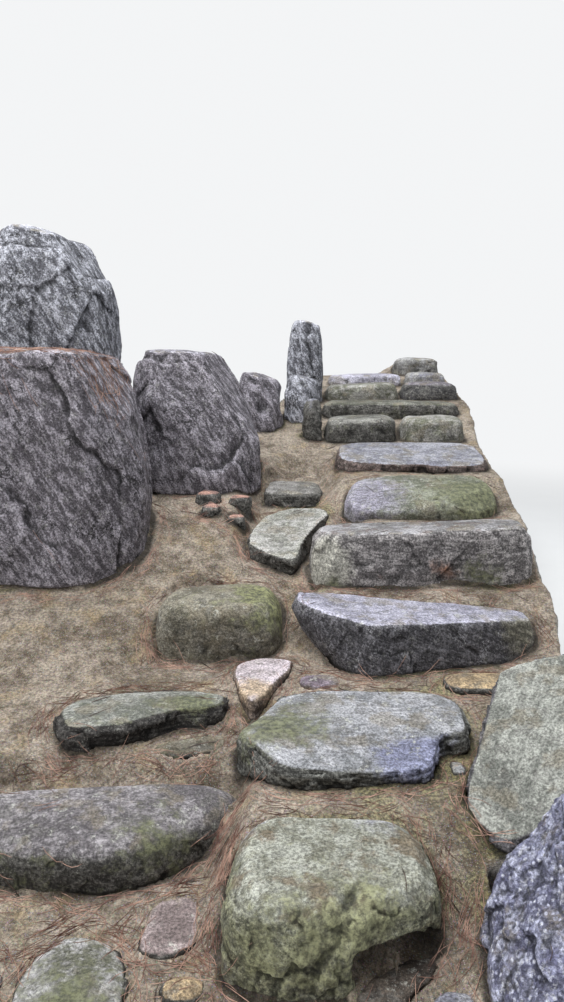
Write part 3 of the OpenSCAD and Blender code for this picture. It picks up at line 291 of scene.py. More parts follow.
class Shader:
    """One material's node tree. Inputs may be numbers, colours or other nodes' outputs."""

    def __init__(self, name):
        self.material = bpy.data.materials.new(name)
        self.material.use_nodes = True
        self.tree = self.material.node_tree
        self.surface = self.tree.nodes["Principled BSDF"]
        self.place = self.node("ShaderNodeTexCoord").outputs["Object"]

    def feed(self, socket, value):
        if isinstance(value, bpy.types.NodeSocket):
            self.tree.links.new(value, socket)
        elif socket.type == "RGBA":
            socket.default_value = (*value, 1)
        else:
            socket.default_value = value

    def node(self, kind, inputs=(), **settings):
        node = self.tree.nodes.new(kind)
        for name, value in settings.items():
            setattr(node, name, value)
        for name, value in dict(inputs).items():
            self.feed(node.inputs[name], value)
        return node

    def noise(self, scale, detail=3, roughness=0.6, at=None):
        inputs = {"Vector": at or self.place, "Scale": scale, "Detail": detail, "Roughness": roughness}
        return self.node("ShaderNodeTexNoise", inputs).outputs["Fac"]

    def grains(self, scale):
        """Scattered grains: how far the nearest is, and its random colour."""
        found = self.node("ShaderNodeTexVoronoi", {"Vector": self.place, "Scale": scale}).outputs
        return found["Distance"], found["Color"]

    def level(self, value, low, high, to_low=0.0, to_high=1.0):
        inputs = {"Value": value, "From Min": low, "From Max": high, "To Min": to_low, "To Max": to_high}
        return self.node("ShaderNodeMapRange", inputs, interpolation_type="SMOOTHSTEP").outputs["Result"]

    def mix(self, share, a, b):
        return self.node("ShaderNodeMix", {0: share, 6: a, 7: b}, data_type="RGBA").outputs[2]

    def shade(self, colour, factor):
        """A colour or a direction times a number."""
        return self.node("ShaderNodeVectorMath", {0: colour, "Scale": factor}, operation="SCALE").outputs[0]

    def drawn(self, way, share):
        """The place squashed along a direction, so that marks made with it are long that way."""
        along = self.node("ShaderNodeVectorMath", {0: self.place, 1: way}, operation="DOT_PRODUCT")
        back = self.shade(way, self.sum("MULTIPLY", along.outputs["Value"], share - 1))
        return self.node("ShaderNodeVectorMath", {0: self.place, 1: back}, operation="ADD").outputs[0]

    def blend(self, *parts):
        """A sum of values, each given with its share."""
        total = 0.0
        for value, share in parts:
            total = self.sum("ADD", total, self.sum("MULTIPLY", value, share))
        return total

    def sum(self, operation, a, b):
        return self.node("ShaderNodeMath", {0: a, 1: b}, operation=operation).outputs[0]

    def mark(self, name):
        return self.node("ShaderNodeAttribute", attribute_name=name).outputs["Fac"]

    def finish(self, colour, roughness, height, depth, strength=1.0):
        """Feeds the surface; height stands out by up to depth metres."""
        bump = self.node("ShaderNodeBump", {"Height": height, "Distance": depth, "Strength": strength})
        self.feed(self.surface.inputs["Base Color"], colour)
        self.feed(self.surface.inputs["Roughness"], roughness)
        self.feed(self.surface.inputs["Normal"], bump.outputs["Normal"])
        self.surface.inputs["Specular IOR Level"].default_value = 0.3
        return self.material


EARTH = (0.21, 0.165, 0.115)
EARTH_DARK = (0.10, 0.08, 0.055)
EARTH_IN_SHADE = (0.016, 0.013, 0.010)
CLAST_DARK = (0.07, 0.07, 0.11)
CLAST_LIGHT = (0.42, 0.43, 0.54)
CLAST_SCALES = (38, 95)
BUMP = 0.006


def stone_material(name, tones):
    """Weathered stone: mottled tones, veins, lichen, moss, earth by the bedding, painted shade on steep sides
    and in hollows, and lighter convex edges, partly worn and partly a painted highlight.
    """
    s = Shader(name)
    broad, mottle, fine, grit = s.noise(6, 3), s.noise(31, 5, 0.68), s.noise(150, 4, 0.7), s.noise(520, 2)
    streak = s.noise(tones["streak_scale"], 5, 0.7, s.drawn(tones["lie"], tones["squash"]))
    tone = s.blend((broad, 0.35), (mottle, tones["mottled"]), (streak, 0.65 - tones["mottled"]))
    colour = s.mix(s.level(tone, 0.44, 0.56), tones["dark"], tones["light"])
    blotch = s.level(s.noise(17, 6, 0.72), 0.54, 0.59, 0, tones["blotches"])
    colour = s.mix(blotch, colour, tones["blotch"])
    stain = s.sum("MULTIPLY", s.level(s.noise(11, 4), 0.52, 0.62), tones["stains"])
    colour = s.mix(stain, colour, tones["stain"])
    # Painted shade on steep sides: where the face mark is high, the colour turns to the dark face tones,
    # mottled with the stone's own grain.
    side = s.level(s.blend((s.mark("face"), 1), (mottle, 0.6)), 0.42, 1.0)
    face_shade_mottle = s.blend((mottle, tones["mottled"]), (streak, 0.8 - tones["mottled"]), (fine, 0.2))
    face_shade_mottle = s.level(face_shade_mottle, 0.44, 0.60)
    colour = s.mix(side, colour, s.mix(face_shade_mottle, tones["face"], tones["face_shade_light"]))
    # Patches of a second tone and of rust; the front boulder's rust is a near-black painted shade in its
    # groove and along its foot.
    for mark, hue in (("tint", tones["tint"]), ("rust_and_shade", tones["rust_and_shade"])):
        patch = s.level(s.blend((s.mark(mark), 1), (mottle, 0.9)), 0.75, 1.15, 0, 0.9)
        colour = s.mix(patch, colour, s.shade(hue, s.level(streak, 0.35, 0.65, 0.6, 1.3)))

    if tones["veins"]:
        crease = s.sum("ABSOLUTE", s.sum("SUBTRACT", s.noise(tones["vein_scale"], 6, 0.66), 0.5), 0)
        vein = s.sum("MULTIPLY", s.level(crease, 0.002, 0.010, tones["veins"], 0), s.level(broad, 0.45, 0.55))
        colour = s.mix(vein, colour, tones["vein"])
    if tones["clasts"]:
        for scale in CLAST_SCALES:
            away, hue = s.grains(scale)
            shade = s.level(s.node("ShaderNodeSeparateColor", {0: hue}).outputs[0], 0.1, 0.9)
            clast = s.mix(shade, CLAST_DARK, CLAST_LIGHT)
            colour = s.mix(s.level(away, 0.30, 0.55, tones["clasts"], 0), colour, clast)
    bare = s.level(side, 0.0, 1.0, 1.0, 0.35)
    spots = s.sum("MULTIPLY", s.level(s.noise(30, 7, 0.78), 0.57, 0.62, 0, tones["lichen"]), bare)
    colour = s.mix(spots, colour, tones["pale"])
    away, hue = s.grains(tones["fleck_scale"])
    chosen = s.level(s.node("ShaderNodeSeparateColor", {0: hue}).outputs[0], 0.68, 0.78)
    flecks = s.sum("MULTIPLY", s.level(away, 0.20, 0.34, tones["flecks"], 0), chosen)
    colour = s.mix(flecks, colour, tones["pale"])
    colour = s.shade(colour, s.level(fine, 0.35, 0.65, 0.50, 1.45))
    colour = s.shade(colour, s.level(grit, 0.3, 0.7, 0.75, 1.25))

    # Earth near the bedding; on steep sides it turns to a near-black painted shade.
    earth_and_shade_cover = s.level(s.blend((s.mark("earth"), 1), (mottle, 0.5)), 0.50, 0.95, 0, 0.9)
    earth_and_shade = s.mix(side, s.mix(fine, EARTH_DARK, EARTH), EARTH_IN_SHADE)
    colour = s.mix(earth_and_shade_cover, colour, earth_and_shade)
    clumps = s.blend((s.noise(19, 6, 0.74), 0.8), (fine, 0.2))
    cover = s.level(s.sum("ADD", s.mark("moss"), clumps), 0.78, 1.00, 0, 0.85)
    green = s.mix(s.level(s.noise(60, 6, 0.75), 0.40, 0.60), tones["moss_dark"], tones["moss"])
    colour = s.mix(cover, colour, green)
    # Painted shade in hollows and creases, moss included, and lighter convex edges, partly worn and partly a
    # painted highlight.
    relief = s.mark("relief")
    colour = s.shade(colour, s.level(relief, 0.05, 0.50, 0.35, 1.0))
    colour = s.shade(colour, s.level(relief, 0.50, 0.95, 1.0, 1.30))

    height = s.blend((fine, 0.8), (grit, 0.35), (mottle, 1.1), (streak, 0.5), (flecks, 0.25), (spots, 0.25))
    return s.finish(colour, s.level(fine, 0.3, 0.7, 0.66, 0.90), height, BUMP, 0.8)


SAND_DARK = (0.125, 0.096, 0.066)
SAND_LIGHT = (0.41, 0.345, 0.275)
SAND_OCHRE = (0.36, 0.27, 0.15)
SAND_GRIT = (0.30, 0.27, 0.24)
SAND_MOSS_DARK = (0.09, 0.09, 0.035)
SAND_MOSS = (0.24, 0.225, 0.085)
WALL_DARK = (0.16, 0.155, 0.15)
WALL_LIGHT = (0.29, 0.285, 0.265)
WALL_BROWN = (0.24, 0.19, 0.15)
WALL_PALE = (0.34, 0.34, 0.31)


def bedding_material():
    """Sandy mortar with grit, mossy near the stones, with painted shadow at the foot of stones that stand
    above it, and rubble on the outer sides.
    """
    s = Shader("bedding")
    broad, mottle, fine, grit = s.noise(4, 4), s.noise(24, 5, 0.68), s.noise(120, 4, 0.7), s.noise(600, 2)
    tone = s.blend((broad, 0.5), (mottle, 0.5))
    sand = s.mix(s.level(tone, 0.38, 0.62), SAND_DARK, SAND_LIGHT)
    sand = s.mix(s.level(s.noise(9, 3), 0.52, 0.70, 0, 0.5), sand, SAND_OCHRE)
    away, hue = s.grains(210)
    pebble = s.level(away, 0.25, 0.45, 0.55, 0)
    sand = s.mix(pebble, sand, s.mix(0.75, hue, SAND_GRIT))
    moss = s.level(s.blend((s.mark("moss"), 1), (mottle, 0.8)), 0.82, 1.05, 0, 0.6)
    sand = s.mix(moss, sand, s.mix(s.level(fine, 0.38, 0.62), SAND_MOSS_DARK, SAND_MOSS))
    # Painted shadow on the mortar at the foot of stones that stand above it.
    shadow_by_stones = s.level(s.blend((s.mark("near"), 1), (mottle, 0.5)), 0.50, 1.05, 1.0, 0.20)
    sand = s.shade(sand, shadow_by_stones)

    hue = s.mark("stone_tone")
    rubble = s.mix(s.level(hue, 0.0, 0.6), WALL_DARK, WALL_LIGHT)
    rubble = s.mix(s.level(hue, 0.6, 0.9), rubble, WALL_BROWN)
    rubble = s.mix(s.level(mottle, 0.42, 0.66, 0, 0.6), rubble, WALL_PALE)
    colour = s.mix(s.mark("rubble"), sand, rubble)
    colour = s.shade(colour, s.level(fine, 0.35, 0.65, 0.58, 1.40))
    colour = s.shade(colour, s.level(grit, 0.3, 0.7, 0.80, 1.2))

    height = s.blend((fine, 0.9), (grit, 0.5), (pebble, 0.8), (mottle, 1))
    return s.finish(colour, s.level(fine, 0.3, 0.7, 0.8, 0.98), height, BUMP, 0.9)


def plain_material(name, dark, light, scale):
    """Two mottled tones, for litter."""
    s = Shader(name)
    tone = s.noise(scale, 3)
    colour = s.mix(s.level(tone, 0.35, 0.65), dark, light)
    return s.finish(colour, s.level(tone, 0.3, 0.7, 0.6, 0.8), tone, 0.0008)


# How each stone is carved and toned

# Millimetres: swell of the whole form, chips on broken sides and their chip_size, ledge thickness (0 for
# none), grain, lumps and their lump_size, streak depth, and how high the mortar reaches. A ledge faces
# ledge_way and streaks lie along lie. round is the smoothing. The face tones are a painted shade: a surface
# takes them where it faces up less than the first shoulder, and not where it faces up more than the second.
# Shares of 1: face_shade_share of the face tones' painted shade on steep sides, moss_top and moss_side,
# squash of the streaks' length, mottled for the part of the tone that isn't streaked, and how strong
# blotches, stains, veins, clasts, lichen and flecks are. Their colours and scales are named after them, and
# pale is the lichen's.
# Spots are (across, along, up, radius in mm, amount). Cuts are start, end, then width, depth and drop in mm.
# The places of both have the stone's box from 0 to 1.
PLAIN = {
    "swell": 5, "chip": 6, "chip_size": 70, "ledge": 0, "ledge_way": (0, 0, 1), "grain": 1.3, "lump": 0,
    "lump_size": 60, "round": 5, "shoulder": (0.62, 0.88), "streak": 0, "lie": (1.0, 0.0, 0.0), "cuts": (),
    "squash": 0.2, "mottled": 0.35, "streak_scale": 80, "mortar": 12,
    "light": (0.35, 0.345, 0.34), "dark": (0.16, 0.16, 0.15), "blotch": (0.12, 0.115, 0.105), "blotches": 0.5,
    "stain": (0.20, 0.17, 0.12), "stains": 0.5, "face": (0.035, 0.033, 0.030),
    "face_shade_light": (0.13, 0.125, 0.115), "face_shade_share": 0.8, "tint": (0.25, 0.26, 0.33), "tint_spots": (),
    "rust_and_shade": (0.36, 0.18, 0.11), "rust_and_shade_spots": (), "vein": (0.34, 0.34, 0.36), "veins": 0, "vein_scale": 9,
    "clasts": 0, "pale": (0.48, 0.48, 0.43), "lichen": 0.55, "flecks": 0.3, "fleck_scale": 240,
    "moss": (0.20, 0.21, 0.115), "moss_dark": (0.065, 0.068, 0.042), "moss_top": 0.15, "moss_side": 0.10,
    "moss_spots": (),
}
BANK = {
    "light": (0.37, 0.348, 0.38), "dark": (0.105, 0.096, 0.108), "face": (0.078, 0.070, 0.080),
    "face_shade_light": (0.32, 0.298, 0.332), "mottled": 0.15, "streak_scale": 48, "squash": 0.3,
    "swell": 20, "chip": 9, "chip_size": 330, "streak": 2.2, "lie": (0.5, 0.1, -0.86), "round": 3,
    "blotches": 0.8, "blotch": (0.050, 0.045, 0.052), "veins": 0.9, "vein": (0.012, 0.011, 0.012),
    "vein_scale": 3.5,
}
SLOT_LOOKS = {
    "mossy_stone": {
        "light": (0.30, 0.30, 0.25), "dark": (0.12, 0.12, 0.09), "moss_top": 0.28, "moss_side": 0.26,
    },
    "grey_slab": {"ledge": 14},
    "bluish_slab": {"light": (0.32, 0.32, 0.355), "dark": (0.15, 0.15, 0.18), "ledge": 12},
    "dark_slab": {"light": (0.33, 0.32, 0.35), "dark": (0.19, 0.18, 0.205), "face": (0.040, 0.038, 0.041)},
    "brown_stone": {"light": (0.13, 0.105, 0.085), "dark": (0.045, 0.036, 0.030), "grain": 3},
    "pink_stone": {"light": (0.56, 0.49, 0.52), "dark": (0.36, 0.31, 0.32), "stains": 0.2, "ledge": 10},
    "purple_stone": {"light": (0.20, 0.165, 0.195), "dark": (0.09, 0.07, 0.085), "chip": 4},
    "ochre_stone": {"light": (0.40, 0.30, 0.18), "dark": (0.20, 0.15, 0.095), "chip": 4, "lichen": 0.2},
    "pebbly_rock": {"light": (0.25, 0.26, 0.37), "dark": (0.10, 0.10, 0.16), "lump": 9, "lump_size": 75},
    "bank_rock": BANK,
    "light_rock": {
        **BANK, "light": (0.48, 0.485, 0.54), "dark": (0.12, 0.12, 0.135), "face": (0.085, 0.085, 0.098),
        "face_shade_light": (0.42, 0.425, 0.47), "blotch": (0.075, 0.075, 0.085),
    },
    "red_rubble": {"light": (0.33, 0.19, 0.15), "dark": (0.13, 0.08, 0.07)},
}
LOOKS = {
    "foot_left": {
        "light": (0.36, 0.35, 0.35), "round": 30, "squash": 0.5, "moss_spots": [(0.5, 0.4, 1, 90, 0.22)],
    },
    "foot_riser": {"chip": 8, "chip_size": 50, "face_shade_share": 0.3},
    "cobble": {"round": 40, "moss_top": 0.0, "moss_side": 0.05},
    "worn_stone": {"light": (0.34, 0.28, 0.275), "dark": (0.19, 0.15, 0.145)},
    "front_boulder": {
        "swell": 6, "chip": 4, "grain": 1.8, "round": 14, "shoulder": (0.30, 0.80), "face_shade_share": 0.5,
        "squash": 0.7, "mortar": 50, "cuts": [
            ((0.60, 0.04, 0.80), (0.42, 0, 0.38), 28, -9, 6),
            ((0.54, 0.02, 0.74), (0.38, 0, 0.38), 17, 9, 0),
        ],
        "light": (0.36, 0.365, 0.315), "dark": (0.19, 0.19, 0.15), "face": (0.065, 0.065, 0.042),
        "face_shade_light": (0.33, 0.33, 0.21), "blotches": 0.7, "blotch": (0.14, 0.135, 0.10),
        "stain": (0.15, 0.11, 0.07), "stains": 0.7, "moss": (0.33, 0.335, 0.19),
        "moss_dark": (0.085, 0.083, 0.05), "moss_top": 0.22, "moss_side": 0.27, "tint": (0.24, 0.235, 0.28),
        "lichen": 0.6, "moss_spots": [(0.3, 0, 0.6, 160, 0.16), (0.62, 0.1, 0.9, 90, 0.2)],
        "tint_spots": [(0.75, 0.95, 1, 120, 0.6), (0.0, 0.1, 0.2, 80, 0.5), (0.05, 0.9, 1, 110, 0.6)],
        # Its rust is a near-black painted shade along the groove left of the ridge and along the left half of
        # its lower front edge.
        "rust_and_shade": (0.050, 0.048, 0.042), "rust_and_shade_spots": [
            (0.46, 0, 0.60, 26, 0.6), (0.40, 0, 0.47, 26, 0.6), (0.35, 0, 0.36, 26, 0.6),
            (0.1, 0, 0, 70, 0.6), (0.3, 0, 0, 70, 0.6), (0.5, 0, 0, 70, 0.6),
        ],
    },
    "pillow_slab": {
        "swell": 6, "chip": 2, "round": 160, "shoulder": (0.25, 0.92), "squash": 0.5,
        "light": (0.30, 0.28, 0.29), "dark": (0.11, 0.10, 0.105), "moss_top": 0.14, "moss_side": 0.22,
        "moss_spots": [(0.72, 0.3, 0.9, 130, 0.25), (0.3, 0.1, 0.6, 120, 0.15)],
    },
    "cleft_slab": {
        "ledge": 15, "ledge_way": (0.04, -0.16, 1), "streak": 1.8, "light": (0.39, 0.39, 0.41),
        "dark": (0.20, 0.205, 0.215), "face": (0.045, 0.044, 0.040), "face_shade_light": (0.17, 0.17, 0.155),
        "shoulder": (0.70, 0.97), "round": 34, "tint": (0.20, 0.21, 0.31), "lichen": 0.8,
        "tint_spots": [(0.60, 0.12, 0.8, 90, 0.5), (0.75, 0.18, 0.8, 90, 0.6), (0.88, 0.25, 0.8, 80, 0.5)],
        "moss_spots": [(0.3, 0.5, 1, 130, 0.25), (0.1, 0.4, 0.8, 110, 0.3)],
    },
    "left_slab": {
        "chip": 9, "round": 34, "light": (0.31, 0.31, 0.285), "dark": (0.14, 0.145, 0.125),
        "face": (0.018, 0.016, 0.015), "face_shade_light": (0.075, 0.070, 0.065), "face_shade_share": 1,
        "shoulder": (0.70, 0.96), "moss_top": 0.28, "moss_spots": [(0.8, 0.5, 1, 90, 0.25)],
    },
    "left_riser": {"light": (0.19, 0.17, 0.135), "dark": (0.08, 0.07, 0.05), "moss_side": 0.35},
    "packing_stone": {"light": (0.26, 0.265, 0.27), "dark": (0.13, 0.13, 0.13), "chip": 3},
    "pink_plate": {
        "chip": 3, "face": (0.11, 0.085, 0.075), "face_shade_light": (0.26, 0.21, 0.18), "face_shade_share": 1,
        "tint": (0.42, 0.32, 0.22), "tint_spots": [(0.35, 0.25, 1, 90, 0.75)], "moss_top": 0, "moss_side": 0,
    },
    "purple_chip": {"face_shade_share": 0.3, "moss_top": 0},
    "side_flag": {
        "ledge": 26, "ledge_way": (-0.29, -0.24, 1), "streak": 1.4, "lie": (0.55, 0.75, 0.36), "round": 14,
        "light": (0.35, 0.355, 0.32), "dark": (0.17, 0.175, 0.155), "face": (0.05, 0.048, 0.052),
        "face_shade_light": (0.17, 0.16, 0.17), "moss_top": 0.18, "tint": (0.24, 0.19, 0.13),
        "tint_spots": [(0.05, 0.6, 0.3, 160, 0.45)],
    },
    "side_boulder": {
        "squash": 0.8, "swell": 10, "chip": 9, "chip_size": 110, "grain": 2.5, "flecks": 0.8,
        "fleck_scale": 95, "clasts": 0.8, "face_shade_share": 0.25, "pale": (0.50, 0.50, 0.53),
        "moss_top": 0, "moss_side": 0,
    },
    "dark_stone": {
        "chip": 2.5, "chip_size": 150, "streak": 0.9, "lie": (0.9, 0.1, -0.42), "light": (0.43, 0.42, 0.50),
        "dark": (0.25, 0.245, 0.30), "face": (0.045, 0.043, 0.048), "face_shade_light": (0.17, 0.165, 0.18),
        "face_shade_share": 1, "veins": 0.8, "vein_scale": 7, "moss_top": 0, "moss_side": 0,
        "tint": (0.17, 0.16, 0.12), "tint_spots": [(0.95, 0.3, 0.7, 140, 0.8), (0.55, 0.1, 1, 60, 0.5)],
    },
    "mossy_boulder": {
        "swell": 8, "chip": 1.5, "round": 30, "shoulder": (0.2, 0.8), "face_shade_share": 0.3, "squash": 0.6,
        "light": (0.27, 0.25, 0.20), "dark": (0.11, 0.10, 0.075), "moss": (0.29, 0.30, 0.14),
        "moss_top": 0.24, "moss_spots": [(0.85, 0.5, 0.9, 120, 0.35)],
    },
    "long_block": {
        "chip": 3, "chip_size": 160, "streak": 1.0, "light": (0.34, 0.33, 0.34), "dark": (0.15, 0.145, 0.145),
        "face": (0.11, 0.102, 0.102), "face_shade_light": (0.40, 0.375, 0.37), "blotches": 0.8,
        "blotch": (0.13, 0.10, 0.09), "tint": (0.42, 0.41, 0.36), "tint_spots": [(0.06, 0.1, 0.5, 115, 1.1)],
        "rust_and_shade_spots": [(0.56, 0.0, 0.45, 60, 0.55), (0.64, 0.0, 0.35, 50, 0.5), (0.3, 0.0, 0.4, 40, 0.4)],
        "moss_spots": [(0.75, 0.0, 0.3, 130, 0.35), (0.12, 0.0, 0.2, 90, 0.3)],
    },
    "tilted_slab": {"light": (0.41, 0.40, 0.38), "dark": (0.22, 0.22, 0.19), "ledge": 10, "face_shade_share": 1},
    "ridge_stone": {
        "light": (0.27, 0.28, 0.22), "dark": (0.11, 0.115, 0.085), "tint": (0.28, 0.265, 0.325), "chip": 3,
        "face_shade_share": 0.3, "tint_spots": [(0.1, 0.35, 0.9, 260, 0.75)],
        "moss_spots": [(0.85, 0.2, 0.8, 170, 0.3)],
    },
    "seventh_left": {
        "light": (0.24, 0.235, 0.215), "dark": (0.08, 0.078, 0.07), "shoulder": (0.25, 0.80),
        "round": 16, "chip": 3,
    },
    **{
        node: {
            "shoulder": (0.25, 0.80), "face_shade_share": 0.3, "round": 16, "chip": 3, "light": (0.33, 0.32, 0.30),
        }
        for node in ("seventh_right", "ninth_left", "tenth_right")
    },
    "fifth_left": {"light": (0.25, 0.24, 0.23), "dark": (0.11, 0.105, 0.095)},
    "sixth_slab": {"face": (0.05, 0.038, 0.034), "face_shade_light": (0.16, 0.12, 0.11), "face_shade_share": 1},
    "eighth_stone": {
        "light": (0.20, 0.20, 0.17), "dark": (0.07, 0.07, 0.055), "face_shade_share": 0.9, "chip": 4, "round": 12,
        "shoulder": (0.4, 0.85),
    },
    "ninth_right": {"light": (0.22, 0.20, 0.225), "dark": (0.09, 0.08, 0.09), "chip": 5, "round": 12},
    "tenth_left": {"light": (0.54, 0.52, 0.61), "dark": (0.28, 0.27, 0.32), "face_shade_share": 0.3},
    "top_stone": {"light": (0.42, 0.415, 0.42), "dark": (0.20, 0.195, 0.19), "face_shade_share": 0.4},
    "bank_middle": {"light": (0.36, 0.345, 0.39), "dark": (0.07, 0.067, 0.08), "flecks": 0.6},
}


# Voxels are finer near the camera. Lengths are in metres.
VOXEL_BY_DISTANCE = 0.0030
VOXEL_LEAST = 0.0048
VOXEL_MOST = 0.012
ROUND_VOXEL = 0.005
FULL_DEPTH_FROM = 0.12
STONE_SLACK = 0.006
HOLLOW_ROUNDS = 8
HOLLOW_SHARE = 0.45
BED_REACH = 0.10
EARTH_REACH = 0.012
KEPT_SHARE = 0.62
DROP_REACH = 0.07


def look_of(node):
    return {**PLAIN, **SLOT_LOOKS[SLOT[node]], **LOOKS.get(node, {})}


def spots_on(points, low, size, spots):
    """Adds up soft round patches, each given by its place in the stone's box, its radius and its amount."""
    total = np.zeros(len(points))
    for across, along, up, radius, amount in spots:
        away = np.linalg.norm(points - (low + size * (across, along, up)), axis=1)
        total += amount * np.exp(-((away / (radius * MM)) ** 2))
    return total


def cut(p, start, end, width):
    """How deep each point is in a groove from start to end, and how far on its right, which may drop."""
    along = end - start
    length = np.linalg.norm(along)
    along /= length
    right = np.cross(along, (0, 0, 1))
    right /= np.linalg.norm(right)
    part = np.clip((p - start) @ along, 0, length)
    off = p - start - np.outer(part, along) + 0.006 * noise(p, 0.05, 3)[:, None] * right
    away = np.linalg.norm(off, axis=1)
    drop = rise(off @ right / width, -0.5, 1) * np.exp(-((away / DROP_REACH) ** 2))
    return np.exp(-((away / width) ** 2)), drop


def carve(node, seed, bed_tree):
    """A stone with worn top, broken sides, ledges, grain and lumps, and the marks that its material reads."""
    look = look_of(node)
    low, high = (np.array(corner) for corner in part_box(node))
    size = high - low
    away = (Vector((low + high) / 2) - EYE).length
    voxel = min(max(VOXEL_BY_DISTANCE * away, VOXEL_LEAST), VOXEL_MOST) * COARSER
    obj = even_mesh(node + "_carved", *cad_mesh([node]), SLOT[node], voxel)
    mesh = obj.data
    p = relax(mesh, points_of(mesh), int(look["round"] * (ROUND_VOXEL / voxel) ** 2) + 1)
    p = low + (p - p.min(axis=0)) / (p.max(axis=0) - p.min(axis=0)) * size
    put(mesh, p)
    n = normals_of(mesh)
    top = rise(n[:, 2], 0.45, 0.80)
    side = 1 - top
    steep = 1 - rise(n[:, 2], *look["shoulder"])
    calm = min(1.0, min(size) / FULL_DEPTH_FROM)

    form = look["swell"] * calm * rough(p, 0.28 * size.max(), seed, 2)
    bent = p + 0.012 * noise(p, 0.05, seed)[:, None]
    chip = look["chip"] * calm * chips(bent, look["chip_size"] * MM, seed + 9)
    grain = look["grain"] * rough(p, 0.035, seed + 20, 3) + 0.5 * look["grain"] * noise(p, 0.007, seed + 30)
    out = form + side * chip + (0.55 + 0.75 * side) * grain
    shift = np.zeros_like(p)
    if look["ledge"]:
        way = np.array(look["ledge_way"]) / np.linalg.norm(look["ledge_way"])
        thick = look["ledge"] * MM
        height = p @ way + 0.5 * thick * rough(p, 0.16, seed + 40, 2)
        layer = np.floor(height / thick)
        part = height / thick - layer
        shift = np.outer((rise(part, 0.38, 0.62) - part) * thick * (0.12 + 0.6 * side), way)
        lead = pick(layer, seed + 50)
        seam = np.exp(-(((part - np.round(part)) * thick / 0.0022) ** 2))
        out += side * (4 * (lead - 0.5) * calm - 2 * seam)
    if look["streak"]:
        lie = np.array(look["lie"]) / np.linalg.norm(look["lie"])
        out += look["streak"] * rough(p - 0.86 * np.outer(p @ lie, lie), 0.016, seed + 80, 3)
    if look["lump"]:
        lump, _, mark = cells(p, look["lump_size"] * MM, seed + 60)
        dome = 1 - (lump / (look["lump_size"] * MM)) ** 2 * 1.6
        out += look["lump"] * np.clip(dome, -0.6, 1) * (0.4 + 0.6 * mark)
    for start, end, width, depth, drop in look["cuts"]:
        groove, lower = cut(p, low + size * start, low + size * end, width * MM)
        out -= depth * groove + drop * lower
    p = p + shift + n * (out * MM)[:, None]
    p = np.clip(p, low - STONE_SLACK, high + STONE_SLACK)
    p[:, 2] = np.maximum(p[:, 2], 0)
    put(mesh, p)

    stands = ((p - relax(mesh, p, HOLLOW_ROUNDS)) * normals_of(mesh)).sum(axis=1)
    near = nearest(bed_tree, p, BED_REACH)[0]
    moss = look["moss_top"] * top + look["moss_side"] * side
    # relief: how far each point stands out of its smoothed surface, for the painted shade in hollows and
    # highlights on edges.
    paint(mesh, "relief", 0.5 + stands / (HOLLOW_SHARE * voxel))
    # face: where the material paints shade on steep sides.
    paint(mesh, "face", steep * look["face_shade_share"])
    paint(mesh, "moss", moss + spots_on(p, low, size, look["moss_spots"]))
    paint(mesh, "tint", spots_on(p, low, size, look["tint_spots"]))
    paint(mesh, "rust_and_shade", spots_on(p, low, size, look["rust_and_shade_spots"]))
    paint(mesh, "earth", np.exp(-near / EARTH_REACH))
    thin(obj, int(KEPT_SHARE * 2 * len(mesh.polygons)))
    dress(obj, stone_material(node, look))
    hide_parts(node)


# Bedding

# Lengths are in metres
BED_VOXEL = 0.0115
STONE_REACH = 0.30
SHADE_REACH = 0.022
JOINT_REACH = 0.028
WALL_PROBE = 0.06
MOST_RUBBLE_SHIFT = 0.005
LABEL_ROUNDS = 16
BED_TRIANGLES = 190000


def bedding_form(bed_tree):
    """The beds, and each stone up to a little above them, so that the mortar closes in on it."""
    points, faces = cad_mesh(BEDS)
    for node in STONES:
        stone, sides = cad_mesh([node])
        held = np.array([bed_tree.find_nearest(at)[0].z for at in stone.tolist()])
        stone[:, 2] = np.minimum(stone[:, 2], held + look_of(node)["mortar"] * MM)
        faces = np.concatenate([faces, sides + len(points)])
        points = np.concatenate([points, stone])
    return points, faces


def patches(mesh, chosen, rounds):
    """One label for all chosen points that edges join, which then spreads to the points round them."""
    a, b = rows(mesh.edges, "vertices", 2, np.int32).T
    kept = chosen[a] & chosen[b]
    start, end = a[kept], b[kept]
    label = np.where(chosen, np.arange(len(chosen)), 0)
    while (label[start] != label[end]).any():
        most = np.maximum(label[start], label[end])
        np.maximum.at(label, start, most)
        np.maximum.at(label, end, most)
        label = label[label]
    for _ in range(rounds):
        spread = label.copy()
        np.maximum.at(spread, a, label[b])
        np.maximum.at(spread, b, label[a])
        label = np.where(label == 0, spread, label)
    return label


def over_floor(bed_tree, points, normals, chosen):
    """1 for each chosen point that has no bed below the place just outside it, as on an outer side."""
    found = np.zeros(len(points))
    outside = points + WALL_PROBE * normals * (1, 1, 0)
    for k in np.flatnonzero(chosen).tolist():
        if bed_tree.ray_cast(outside[k].tolist(), (0, 0, -1))[0] is None:
            found[k] = 1
    return found


